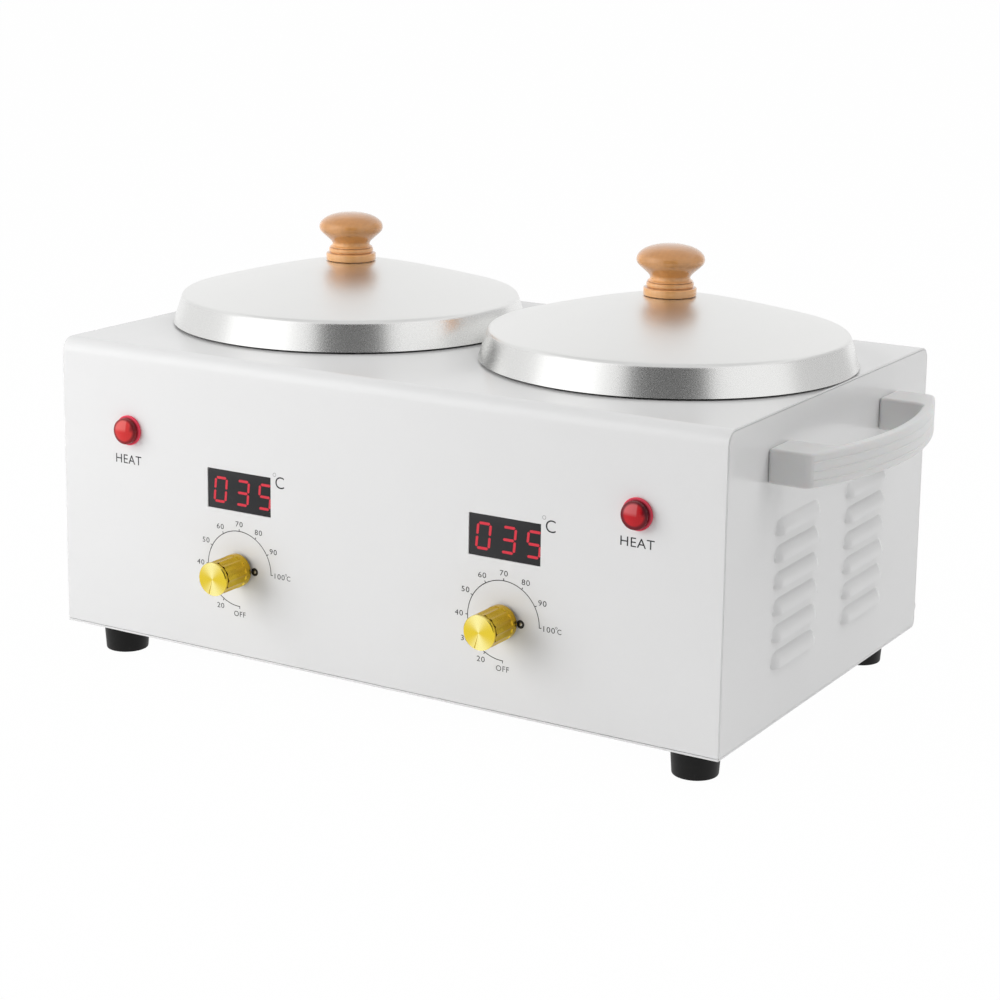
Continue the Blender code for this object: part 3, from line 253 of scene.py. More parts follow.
@dataclass(frozen=True)
class Finish:
    """One finish: a colour with a faint cloud, a little uneven in its gloss, and a fine tooth."""

    name: str
    colour: Colour
    roughness: float
    metallic: float = 0.0
    gloss: float = 0.5
    coat: float = 0.0
    coat_roughness: float = 0.03
    soft_share: float = 0.0
    soft_depth: float = 0.05
    light: float = 0.0
    cloud: Grain = Grain(60, 3)
    tones: Point2 = (0.94, 1.05)
    shine: Grain | None = None
    unevenness: float = 0.1
    tooth: Grain = Grain(2500)
    tooth_strength: float = 0.15
    tooth_depth: float = 0.1 * MM

    def material(self) -> bpy.types.Material:
        """Make the material the first time that a piece asks for it.

        Returns:
            The finish's material.
        """
        found = bpy.data.materials.get(self.name)
        if found is None:
            found = bpy.data.materials.new(self.name)
            found.use_nodes = True
            book = NodeBook(found.node_tree)
            book.fill(found.node_tree.nodes["Principled BSDF"].inputs, {
                "Base Color": (*self.colour, 1), "Roughness": self.roughness, "Metallic": self.metallic,
                "Specular IOR Level": self.gloss, "Coat Weight": self.coat,
                "Coat Roughness": self.coat_roughness, "Subsurface Weight": self.soft_share,
                "Subsurface Scale": self.soft_depth, "Emission Strength": self.light} | self.dress(book))
        return found

    def shade(self, share: float) -> Colour:
        """Return the finish's colour, darkened or lightened by a share."""
        red, green, blue = (min(part * share, 1.0) for part in self.colour)
        return red, green, blue

    def toned(self, book: NodeBook, pattern: Term) -> Term:
        """Return the finish's colour between its two tones, as a pattern goes from 0 to 1."""
        return book.mix(pattern, self.shade(self.tones[0]), self.shade(self.tones[1]))

    def uneven(self, pattern: Term) -> Term:
        """Return the finish's roughness, varied by a pattern that goes from 0 to 1."""
        return pattern * self.unevenness + (self.roughness - self.unevenness / 2)

    def dress(self, book: NodeBook) -> dict[str, Term]:
        """Make what varies over the surface.

        Args:
            book: The material's node book.

        Returns:
            The terms for the surface shader's inputs.
        """
        place = book.place()
        cloud = book.noise(place, self.cloud)
        shine = book.noise(place, self.shine) if self.shine else cloud
        return {"Base Color": self.toned(book, cloud), "Roughness": self.uneven(shine),
                "Normal": book.bump(book.noise(place, self.tooth), self.tooth_strength, self.tooth_depth)}


@dataclass(frozen=True)
class Enamel(Finish):
    """Gloss enamel baked on sheet metal, with a trace of orange peel."""

    coat: float = 0.25
    coat_roughness: float = 0.08
    cloud: Grain = Grain(11, 4)
    tones: Point2 = (0.985, 1.012)
    unevenness: float = 0.08
    tooth: Grain = Grain(420, 1)
    tooth_strength: float = 0.05
    tooth_depth: float = 0.2 * MM


@dataclass(frozen=True)
class Moulded(Finish):
    """Moulded plastic that lets a little light in, with a fine spark texture."""

    soft_share: float = 0.12
    soft_depth: float = 2.5 * MM
    cloud: Grain = Grain(30, 3)
    tones: Point2 = (0.975, 1.02)
    shine: Grain | None = Grain(900)
    unevenness: float = 0.12
    tooth: Grain = Grain(1800)
    tooth_strength: float = 0.06


@dataclass(frozen=True)
class Spun(Finish):
    """Metal that was spun or turned, with fine rings, and a brighter, grainier band beyond its edge."""

    cloud: Grain = Grain(25, 3)
    tones: Point2 = (0.97, 1.02)
    unevenness: float = 0.08
    tooth_strength: float = 0.12
    tooth_depth: float = 0.05 * MM
    rings: Grain = Grain(2600, 2, 0.6)
    edge: float = 1.0
    edge_blend: float = 0.8 * MM
    edge_roughness: float = 0.2
    edge_unevenness: float = 0.12
    bead: Grain = Grain(1500, 2, 0.7)
    bead_strength: float = 0.22

    def tint(self, book: NodeBook, place: TurnedPlace, cloud: Term) -> Term:
        """Return the metal's colour at a place, a little cloudy."""
        return self.toned(book, cloud)

    def dress(self, book: NodeBook) -> dict[str, Term]:
        """Make the metal's rings, and beyond the edge radius its beaded band.

        Args:
            book: The material's node book.

        Returns:
            The terms for the surface shader's inputs.
        """
        place = book.turned_place()
        band = place.radius.above(self.edge, self.edge_blend)
        lines = book.noise(place.rings, self.rings)
        beads = book.noise(place.own, self.bead)
        cloud = book.noise(place.own, self.cloud)
        satin = self.roughness + (cloud - 0.5) * self.unevenness + (lines - 0.5) * self.unevenness
        bright = self.edge_roughness + (beads - 0.5) * self.edge_unevenness
        turned = book.bump(lines, self.tooth_strength, self.tooth_depth)
        return {"Base Color": self.tint(book, place, cloud), "Roughness": satin + (bright - satin) * band,
                "Normal": book.bump(beads * band, self.bead_strength, self.tooth_depth, turned)}


@dataclass(frozen=True)
class Anodised(Spun):
    """Dyed aluminium, with two wedge-shaped painted highlights on its spun face, painted shade in patches on
    its sides and darker painted shade in its groove.
    """

    face: float = 19.3 * MM
    face_blend: float = 0.1 * MM
    waist: float = 18.22 * MM
    waist_width: float = 1.23 * MM
    waist_blend: float = 0.02 * MM
    # Painted shade: the sides' darker gold, in patches, and the groove's brown. Painted highlight: the face's
    # pale gold.
    side: Colour = (0.56, 0.34, 0.02)
    flank_shade_patches: Point2 = (0.35, 0.3)
    groove: Colour = (0.27, 0.15, 0.015)
    pale: Colour = (1.0, 0.90, 0.36)
    axis: float = 98.0
    highlight_power: float = 1.6

    def tint(self, book: NodeBook, place: TurnedPlace, cloud: Term) -> Term:
        """Paint the face's two wedge-shaped highlights, painted shade in patches on the sides and darker
        painted shade in the groove.

        Args:
            book: The material's node book.
            place: The coordinates of the piece.
            cloud: The metal's cloud.

        Returns:
            The dyed metal's colour, with its painted highlights and painted shade.
        """
        # Painted highlight in two wedge-shaped lobes on the face; painted shade on the sides and in the
        # groove.
        light = place.y.painted_highlight_wedges(place.x, self.axis) ** self.highlight_power
        flank = book.mix(cloud.above(*self.flank_shade_patches), self.side, self.colour)
        groove = place.height.within(self.waist - self.waist_width, self.waist, self.waist_blend)
        return book.mix(place.height.above(self.face, self.face_blend),
                        book.mix(groove, flank, self.groove), book.mix(light, self.colour, self.pale))


@dataclass(frozen=True)
class Wood(Finish):
    """Turned hardwood under clear lacquer, its grain along the axis of turning."""

    coat: float = 1.0
    coat_roughness: float = 0.07
    tones: Point2 = (0.74, 1.22)
    unevenness: float = 0.12
    tooth: Grain = Grain(2400, 2, 0.6)
    tooth_strength: float = 0.05
    dark: Colour = (0.36, 0.13, 0.035)
    # Painted light: the foot's lighter, warmer colour, for the light that the lid throws up on it.
    bounce_light: Colour = (0.90, 0.47, 0.175)
    neck: Point2 = (10.5 * MM, 2.0 * MM)
    bounce_share: float = 0.85
    # Painted shade on the top of the cap.
    crown: Point2 = (18.6 * MM, 2.4 * MM)
    top_shade_share: float = 0.22
    # Thin darker bands at the steps of the profile.
    joints: tuple[float, ...] = (6.75 * MM, 4.1 * MM)
    step_line_half: float = 0.35 * MM
    step_line_blend: float = 0.2 * MM
    step_line_share: float = 0.5
    flame: Grain = Grain(120, 4)
    flame_stretch: Point3 = (1, 1, 0.3)
    year_scale: float = 110
    year_wave: float = 3.5
    year_layers: float = 3
    year_layer_scale: float = 1.8
    year_stretch: Point3 = (1, 0.6, 0.10)
    year_share: float = 0.06
    bend_scale: float = 45
    bend_reach: Point3 = (3.0 * MM, 3.0 * MM, 0)
    pore_stretch: Point3 = (1, 1, 0.07)
    pore_edge: Point2 = (0.58, 0.2)
    pore_share: float = 0.28

    def years(self, book: NodeBook, own: Term) -> Term:
        """Make the growth rings, bent a little.

        Args:
            book: The material's node book.
            own: The piece's own coordinates.

        Returns:
            The rings, from 0 to 1.
        """
        sway = book.add("ShaderNodeTexNoise", None, {"Vector": own, "Scale": self.bend_scale}, 1)
        return book.add("ShaderNodeTexWave", {"wave_type": "BANDS", "bands_direction": "X"}, {
            "Vector": book.add("ShaderNodeVectorMath", {"operation": "ADD"}, {
                0: book.stretched(own, self.year_stretch), 1: book.stretched(sway, self.bend_reach)}),
            "Scale": self.year_scale, "Distortion": self.year_wave, "Detail": self.year_layers,
            "Detail Scale": self.year_layer_scale})

    def dress(self, book: NodeBook) -> dict[str, Term]:
        """Make the wood's flame, its faint growth rings and its pores, with painted light on its foot,
        painted shade on the top of its cap and darker bands at the steps of its profile.

        Args:
            book: The material's node book.

        Returns:
            The terms for the surface shader's inputs.
        """
        place = book.turned_place()
        pores = book.noise(book.stretched(place.own, self.pore_stretch), self.tooth)
        body = self.toned(book, book.noise(book.stretched(place.own, self.flame_stretch), self.flame))
        # Painted light on the foot and the neck.
        body = book.mix(place.height.below(*self.neck) * self.bounce_share, body, self.bounce_light)
        # Painted shade on the top of the cap, then darker bands at the profile's steps, the growth rings and
        # the pores.
        shares = [place.height.above(*self.crown) * self.top_shade_share]
        shares += [place.height.within(step_line - self.step_line_half, step_line + self.step_line_half, self.step_line_blend)
                   * self.step_line_share for step_line in self.joints]
        shares += [self.years(book, place.own) * self.year_share,
                   pores.above(*self.pore_edge) * self.pore_share]
        for share in shares:
            body = book.mix(share, body, self.dark)
        return {"Base Color": body, "Roughness": self.uneven(pores),
                "Normal": book.bump(pores, self.tooth_strength, self.tooth_depth)}


@dataclass(frozen=True)
class Glow(Finish):
    """A lit surface, a little uneven."""

    light: float = 1.0
    cloud: Grain = Grain(900, 1)
    tones: Point2 = (0.88, 1.1)

    def dress(self, book: NodeBook) -> dict[str, Term]:
        """Make the surface's colour and its light from the book."""
        glow = self.toned(book, book.noise(book.place(), self.cloud))
        return {"Base Color": glow, "Emission Color": glow}


@dataclass(frozen=True)
class Lens(Finish):
    """The red cap of an indicator: a clear red dome over its screen, with a painted reflection on its upper
    half, painted shade on its limb and its right side, and painted light on its flange.
    """

    light: float = 0.10
    # Painted reflection: the pale colour of the dome's upper half.
    pale: Colour = (0.62, 0.14, 0.15)
    reflection_share: float = 0.75
    # Painted shade: the dark colour of the limb and the right side.
    dark: Colour = (0.075, 0.003, 0.009)
    screen_scale: float = 1300
    screen_line: float = 0.16
    screen_blur: float = 0.7
    screen_tone: float = 0.55
    screen_share: float = 0.25
    inner: Point2 = (2.5 * MM, 0.8 * MM)
    upper: Point2 = (-0.4 * MM, 2.4 * MM)
    centre: Point2 = (0.45 * MM, 0.5 * MM)
    limb: float = 4.45 * MM
    limb_blend: float = 1.2 * MM
    limb_shade_share: float = 0.85
    right: Point2 = (3.6 * MM, 1.4 * MM)
    right_shade_share: float = 0.8
    # Painted light: the bright red of the flange.
    rim: Colour = (0.80, 0.05, 0.10)
    rim_edge: Point2 = (1.7 * MM, 0.5 * MM)

    def dress(self, book: NodeBook) -> dict[str, Term]:
        """Paint the dome's reflection on its paler upper half, painted shade on its deep right side and its
        dark limb, and painted light on its flange.

        Args:
            book: The material's node book.

        Returns:
            The terms for the surface shader's inputs.
        """
        place = book.turned_place()
        screen = book.add("ShaderNodeTexBrick", {"offset": 0.0}, {
            "Vector": place.own, "Scale": self.screen_scale, "Mortar Size": self.screen_line,
            "Mortar Smooth": self.screen_blur, "Brick Width": 1.0, "Row Height": 1.0}, 1)
        upper = place.y.above(*self.upper)
        aside, aloft = place.x - self.centre[0], place.y - self.centre[1]
        around = (aside * aside + aloft * aloft) ** 0.5
        body = book.mix(screen * self.screen_share, self.colour, self.shade(self.screen_tone))
        # Painted reflection on the upper half, painted shade on the limb and the right side, painted light on
        # the flange.
        for share, colour in ((upper * place.x.below(*self.inner) * self.reflection_share, self.pale),
                              (around.above(self.limb, self.limb_blend) * self.limb_shade_share, self.dark),
                              (place.x.above(*self.right) * upper * self.right_shade_share, self.dark),
                              (place.height.below(*self.rim_edge), self.rim)):
            body = book.mix(share, body, colour)
        return {"Base Color": body, "Emission Color": body}


ENAMEL = Enamel("gloss_white_enamel", (0.80, 0.80, 0.80), 0.24)
HANDLE_PLASTIC = Moulded("handle_plastic", (0.77, 0.77, 0.765), 0.38)
LID_METAL = Spun("lid_aluminium", (0.835, 0.835, 0.825), 0.33, 1.0, edge=87.6 * MM, edge_roughness=0.26)
POT_METAL = Spun("pot_aluminium", (0.80, 0.80, 0.79), 0.30, 1.0)
GOLD = Anodised("gold_anodised", (0.80, 0.60, 0.05), 0.20, 1.0, rings=Grain(5200, 2, 0.6),
                tooth_strength=0.3)
KNOB_WOOD = Wood("lacquered_beech", (0.68, 0.315, 0.094), 0.36)
RUBBER = Moulded("black_rubber_foot", (0.006, 0.006, 0.006), 0.5, gloss=0.2, soft_share=0.0)
BLACK_MOULD = Moulded("black_moulding", (0.012, 0.012, 0.012), 0.38, gloss=0.4, soft_share=0.0)
WINDOW = Finish("display_window", (0.012, 0.012, 0.014), 0.22, gloss=0.35)
LED_RED = Glow("lit_segment", (0.49, 0.010, 0.028), 0.35, light=0.43)
INK = Finish("grey_ink", (0.014, 0.014, 0.016), 0.6, gloss=0.3)
PALE_INK = Finish("pale_grey_ink", (0.24, 0.24, 0.24), 0.6)
RED_CAP = Lens("red_cap", (0.50, 0.010, 0.016), 0.12, gloss=0.22)
# The left cap: lit brighter, with a paler painted reflection and a narrower, lighter painted shade on its
# limb.
LIT_CAP = Lens("lit_red_cap", (0.56, 0.026, 0.026), 0.12, gloss=0.22, limb=4.7 * MM, light=0.2,
               pale=(0.66, 0.13, 0.12), dark=(0.14, 0.006, 0.010))
ZINC = Spun("zinc_screw", (0.66, 0.66, 0.67), 0.30, 1.0, rings=Grain(1800, 2, 0.6))
ZINC_PLATE = Finish("zinc_plate", (0.62, 0.62, 0.63), 0.34, 1.0)
# Near-black potentiometer: its black also stands in for the shade in the gap behind each dial knob.
DARK_ZINC = Finish("black_zinc", (0.05, 0.05, 0.05), 0.38, 0.6)
NICKEL = Finish("nickel_pin", (0.72, 0.70, 0.66), 0.22, 1.0)
BOARD = Finish("circuit_board", (0.04, 0.20, 0.09), 0.42)
MICA = Finish("mica_plate", (0.45, 0.38, 0.27), 0.55)


# ---- mesh helpers


def arc(centre: Point2, radius: float, start: float, end: float, steps: int) -> list[Point2]:
    """Return the points of an arc of this many chords, between two angles in degrees."""
    angles = [math.radians(start + (end - start) * step / steps) for step in range(steps + 1)]
    return [(centre[0] + radius * math.cos(a), centre[1] + radius * math.sin(a)) for a in angles]


def moved(form: Form, matrix: Matrix) -> Form:
    """Move a form by a matrix, and return it."""
    bmesh.ops.transform(form, matrix=matrix, verts=form.verts)
    return form


def shifted(form: Form, x: float, y: float, z: float = 0.0) -> Form:
    """Shift a form, and return it."""
    return moved(form, Matrix.Translation((x, y, z)))


def turned(degrees: float) -> Matrix:
    """Return the matrix of a turn about the Z axis."""
    return Matrix.Rotation(math.radians(degrees), 4, 'Z')


def facing_front(x: float, y: float, z: float) -> Matrix:
    """Return the matrix that puts a form at a place and turns its Z axis out of the front."""
    return Matrix.Translation((x, y, z)) @ Matrix.Rotation(math.pi / 2, 4, 'X')


def spin(points: Sequence[Point2], steps: int, closed: bool = False) -> Form:
    """Turn a profile about the Z axis.

    Args:
        points: The profile's radii and heights.
        steps: How many facets the full turn has.
        closed: Whether the profile's last point joins its first.

    Returns:
        The closed form.
    """
    form = bmesh.new()
    line = [form.verts.new((radius, 0, height)) for radius, height in points]
    pairs = list(zip(line, line[1:])) + ([(line[-1], line[0])] if closed else [])
    edges = [form.edges.new(pair) for pair in pairs]
    bmesh.ops.spin(form, geom=line + edges, cent=(0, 0, 0), axis=(0, 0, 1), angle=2 * math.pi,
                   steps=steps, use_merge=True)
    bmesh.ops.remove_doubles(form, verts=form.verts, dist=TINY)
    bmesh.ops.recalc_face_normals(form, faces=form.faces)
    return form


def ribbon(first: Point3, last: Point3, sweep: float, steps: int) -> Form:
    """Sweep the line between two points about the Z axis.

    Args:
        first: The line's first end.
        last: Its last end.
        sweep: How far it sweeps, in degrees.
        steps: How many facets it leaves.

    Returns:
        The open form.
    """
    form = bmesh.new()
    ends = [form.verts.new(point) for point in (first, last)]
    bmesh.ops.spin(form, geom=ends + [form.edges.new(ends)], cent=(0, 0, 0), axis=(0, 0, 1),
                   angle=math.radians(sweep), steps=steps, use_merge=sweep == 360)
    return form


def swept(form: Form, edges: Sequence[bmesh.types.BMEdge], way: Point3) -> None:
    """Sweep edges of a form along a way.

    Args:
        form: The form, which gains the swept faces.
        edges: The edges.
        way: How far they go along each axis.
    """
    parts = bmesh.ops.extrude_edge_only(form, edges=edges)["geom"]
    verts = [part for part in parts if isinstance(part, bmesh.types.BMVert)]
    bmesh.ops.translate(form, verts=verts, vec=way)


def slab(outline: Sequence[Point2], thickness: float) -> Form:
    """Make a flat form.

    Args:
        outline: Its (x, y) points.
        thickness: How far it rises from z = 0.

    Returns:
        The closed form.
    """
    form = bmesh.new()
    face = form.faces.new([form.verts.new((x, y, 0)) for x, y in outline])
    raised = bmesh.ops.extrude_face_region(form, geom=[face])["geom"]
    top = [part for part in raised if isinstance(part, bmesh.types.BMVert)]
    bmesh.ops.translate(form, verts=top, vec=(0, 0, thickness))
    bmesh.ops.recalc_face_normals(form, faces=form.faces)
    return form


def block(size: Sequence[float], centre: Sequence[float] = (0, 0, 0)) -> Form:
    """Make a box.

    Args:
        size: Its size along each axis.
        centre: Its middle.

    Returns:
        The closed form.
    """
    form = bmesh.new()
    bmesh.ops.create_cube(form, size=1, matrix=Matrix.Translation(centre) @ Matrix.Diagonal((*size, 1)))
    return form


def rod(radius: float, length: float, steps: int = 48) -> Form:
    """Make a capped cylinder about the Z axis.

    Args:
        radius: Its radius.
        length: Its length, the origin at its middle.
        steps: How many facets it has.

    Returns:
        The closed form.
    """
    form = bmesh.new()
    bmesh.ops.create_cone(form, cap_ends=True, segments=steps, radius1=radius, radius2=radius, depth=length)
    return form


def rounded(form: Form, edges: Sequence[bmesh.types.BMEdge], width: float, steps: int) -> Form:
    """Round some edges of a form by a width, in this many facets, and return it."""
    bmesh.ops.bevel(form, geom=edges, offset=width, offset_type='OFFSET', segments=steps, profile=0.5,
                    affect='EDGES', clamp_overlap=True, material=-1)
    return form


def softened(form: Form, width: float, steps: int = 2, angle: float = 40) -> Form:
    """Round every edge of a form that is sharper than an angle in degrees, and return it."""
    return rounded(form, [edge for edge in form.edges if len(edge.link_faces) == 2
                          and edge.calc_face_angle() > math.radians(angle)], width, steps)


def ruled(form: Form, place: Point3, normal: Point3, clear: bool = False) -> list[bmesh.types.BMEdge]:
    """Cut a form's faces along a plane.

    Args:
        form: The form.
        place: A point of the plane.
        normal: The plane's normal.
        clear: Whether what lies on the normal's side is taken away.

    Returns:
        The edges that lie in the plane.
    """
    found = bmesh.ops.bisect_plane(form, geom=form.verts[:] + form.edges[:] + form.faces[:], dist=TINY,
                                   plane_co=place, plane_no=normal, clear_outer=clear)["geom_cut"]
    return [part for part in found if isinstance(part, bmesh.types.BMEdge)]


def merge(forms: Iterable[Form]) -> Form:
    """Put forms together.

    Args:
        forms: The forms, which are freed.

    Returns:
        One form that holds them all.
    """
    whole = bmesh.new()
    for form in forms:
        mesh = bpy.data.meshes.new("merging")
        form.to_mesh(mesh)
        form.free()
        whole.from_mesh(mesh)
        bpy.data.meshes.remove(mesh)
    return whole


def shade_smooth(mesh: bpy.types.Mesh, angle: float) -> None:
    """Shade a mesh smooth, with the edges above an angle in degrees kept sharp."""
    mesh.shade_smooth()
    mesh.set_sharp_from_angle(angle=math.radians(angle))


def shown(name: str, form: Form, material: bpy.types.Material | None = None) -> Item:
    """Put a form in the scene.

    Args:
        name: The object's name.
        form: The form, which is freed.
        material: What it is made of.

    Returns:
        The object.
    """
    mesh = bpy.data.meshes.new(name)
    form.to_mesh(mesh)
    form.free()
    if material:
        mesh.materials.append(material)
    item = bpy.data.objects.new(name, mesh)
    bpy.context.scene.collection.objects.link(item)
    return item


def piece(name: str, form: Form, finish: Finish, place: Matrix = Matrix(), sharp: float = 35) -> Item:
    """Make a piece from a form.

    Args:
        name: The piece's name.
        form: The form, in the piece's own coordinates, which an attribute keeps.
        finish: The piece's finish.
        place: Where the form goes.
        sharp: The angle in degrees above which an edge is shaded sharp.

    Returns:
        The piece, with its object at the origin.
    """
    own = form.verts.layers.float_vector.new("own")
    for vert in form.verts:
        vert[own] = vert.co
    item = shown(name, moved(form, place), finish.material())
    shade_smooth(item.data, sharp)
    return item


def settle(item: Item, sharp: float | None = None) -> None:
    """Apply a piece's modifiers to its mesh.

    Args:
        item: The piece.
        sharp: The angle in degrees above which an edge is then shaded sharp.
    """
    bpy.context.view_layer.update()
    graph = bpy.context.evaluated_depsgraph_get()
    mesh = bpy.data.meshes.new_from_object(item.evaluated_get(graph), preserve_all_data_layers=True,
                                           depsgraph=graph)
    item.modifiers.clear()
    item.data = mesh
    if sharp is not None:
        shade_smooth(mesh, sharp)


def carve(item: Item, forms: Iterable[Form], sharp: float = 35) -> None:
    """Cut forms out of a piece.

    Args:
        item: The piece.
        forms: The forms to take out, which are freed.
        sharp: The angle in degrees above which an edge is shaded sharp.
    """
    cutters = []
    for form in forms:
        bmesh.ops.recalc_face_normals(form, faces=form.faces)
        cutters.append(shown("cutter", form))
        change = item.modifiers.new("cut", 'BOOLEAN')
        change.operation = 'DIFFERENCE'
        change.solver = 'EXACT'
        change.object = cutters[-1]
    settle(item, sharp)
    for cutter in cutters:
        bpy.data.objects.remove(cutter, do_unlink=True)


def thicken(item: Item, thickness: float, even: bool, sharp: float | None = None) -> None:
    """Give an open piece its wall, inside its skin.

    Args:
        item: The piece.
        thickness: How thick the wall is.
        even: Whether it is as thick in a bend as on a flat.
        sharp: The angle in degrees above which an edge is then shaded sharp.
    """
    shell = item.modifiers.new("sheet", 'SOLIDIFY')
    shell.thickness = thickness
    shell.offset = -1
    shell.use_even_offset = even
    settle(item, sharp)


def weigh(item: Item) -> None:
    """Weight a piece's normals by face area, so that flat faces beside a bend stay flat.

    Args:
        item: The piece.
    """
    weighted = item.modifiers.new("normals", 'WEIGHTED_NORMAL')
    weighted.weight = FACE_WEIGHT
    weighted.keep_sharp = True


def edge_rounding(item: Item, width: float, steps: int = 2, angle: float = 50) -> None:
    """Round a piece's edges with a modifier, and weight its normals.

    Args:
        item: The piece.
        width: How wide the rounding is.
        steps: How many facets it has.
        angle: The angle in degrees above which an edge is rounded.
    """
    bevel = item.modifiers.new("edges", 'BEVEL')
    bevel.width = width
    bevel.segments = steps
    bevel.limit_method = 'ANGLE'
    bevel.angle_limit = math.radians(angle)
    weigh(item)


def seat(item: Item, body: str, slot: str, *nodes: str) -> None:
    """Let a piece ride on its body and stand for the nodes that it replaces.

    Args:
        item: The piece.
        body: The body that it moves with.
        slot: The record's material slot; not used.
        nodes: The CAD nodes that it replaces.
    """
    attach(item, body)
    if nodes:
        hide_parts(*nodes)
    LOG.info("%s rides on %s", item.name, body)


def box(node: str) -> tuple[Vector, Vector, Vector]:
    """Return the lowest corner, the highest corner and the middle of a node's box."""
    low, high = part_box(node)
    return low, high, (low + high) / 2


def lettering(text: str, height: float, thin: float = 0.0, spread: float = 1.0, wide: float = 1.0) -> Form:
    """Make flat raised letters in the XY plane.

    Args:
        text: What they say.
        height: How tall a capital is.
        thin: How far the strokes are thinned, as a share of the size.
        spread: The spacing of the letters.
        wide: How wide a letter is, as a share of the font's own width.

    Returns:
        The letters, with their middle at the origin.
    """
    curve = bpy.data.curves.new("letters", 'FONT')
    curve.body = text
    curve.align_x = 'CENTER'
    curve.size = 1.0
    curve.offset = -thin
    curve.space_character = spread
    curve.extrude = LETTER_DEPTH
    item = bpy.data.objects.new("letters", curve)
    bpy.context.scene.collection.objects.link(item)
    bpy.context.view_layer.update()
    mesh = bpy.data.meshes.new_from_object(item.evaluated_get(bpy.context.evaluated_depsgraph_get()))
    bpy.data.objects.remove(item, do_unlink=True)
    form = bmesh.new()
    form.from_mesh(mesh)
    bpy.data.meshes.remove(mesh)
    bmesh.ops.remove_doubles(form, verts=form.verts, dist=LETTER_WELD)
    low, high = ([pick(vert.co[axis] for vert in form.verts) for axis in range(2)] for pick in (min, max))
    shifted(form, -(low[0] + high[0]) / 2, -(low[1] + high[1]) / 2)
    scale = height / (high[1] - low[1])
    bmesh.ops.scale(form, vec=(scale * wide, scale, scale), verts=form.verts)
    return form


def degree_ring(radius: float, line: float) -> Form:
    """Return the small flat ring of a degree sign."""
    return ribbon((radius - line / 2, 0, 0), (radius + line / 2, 0, 0), 360, RING_STEPS)


# ---- sub-assemblies


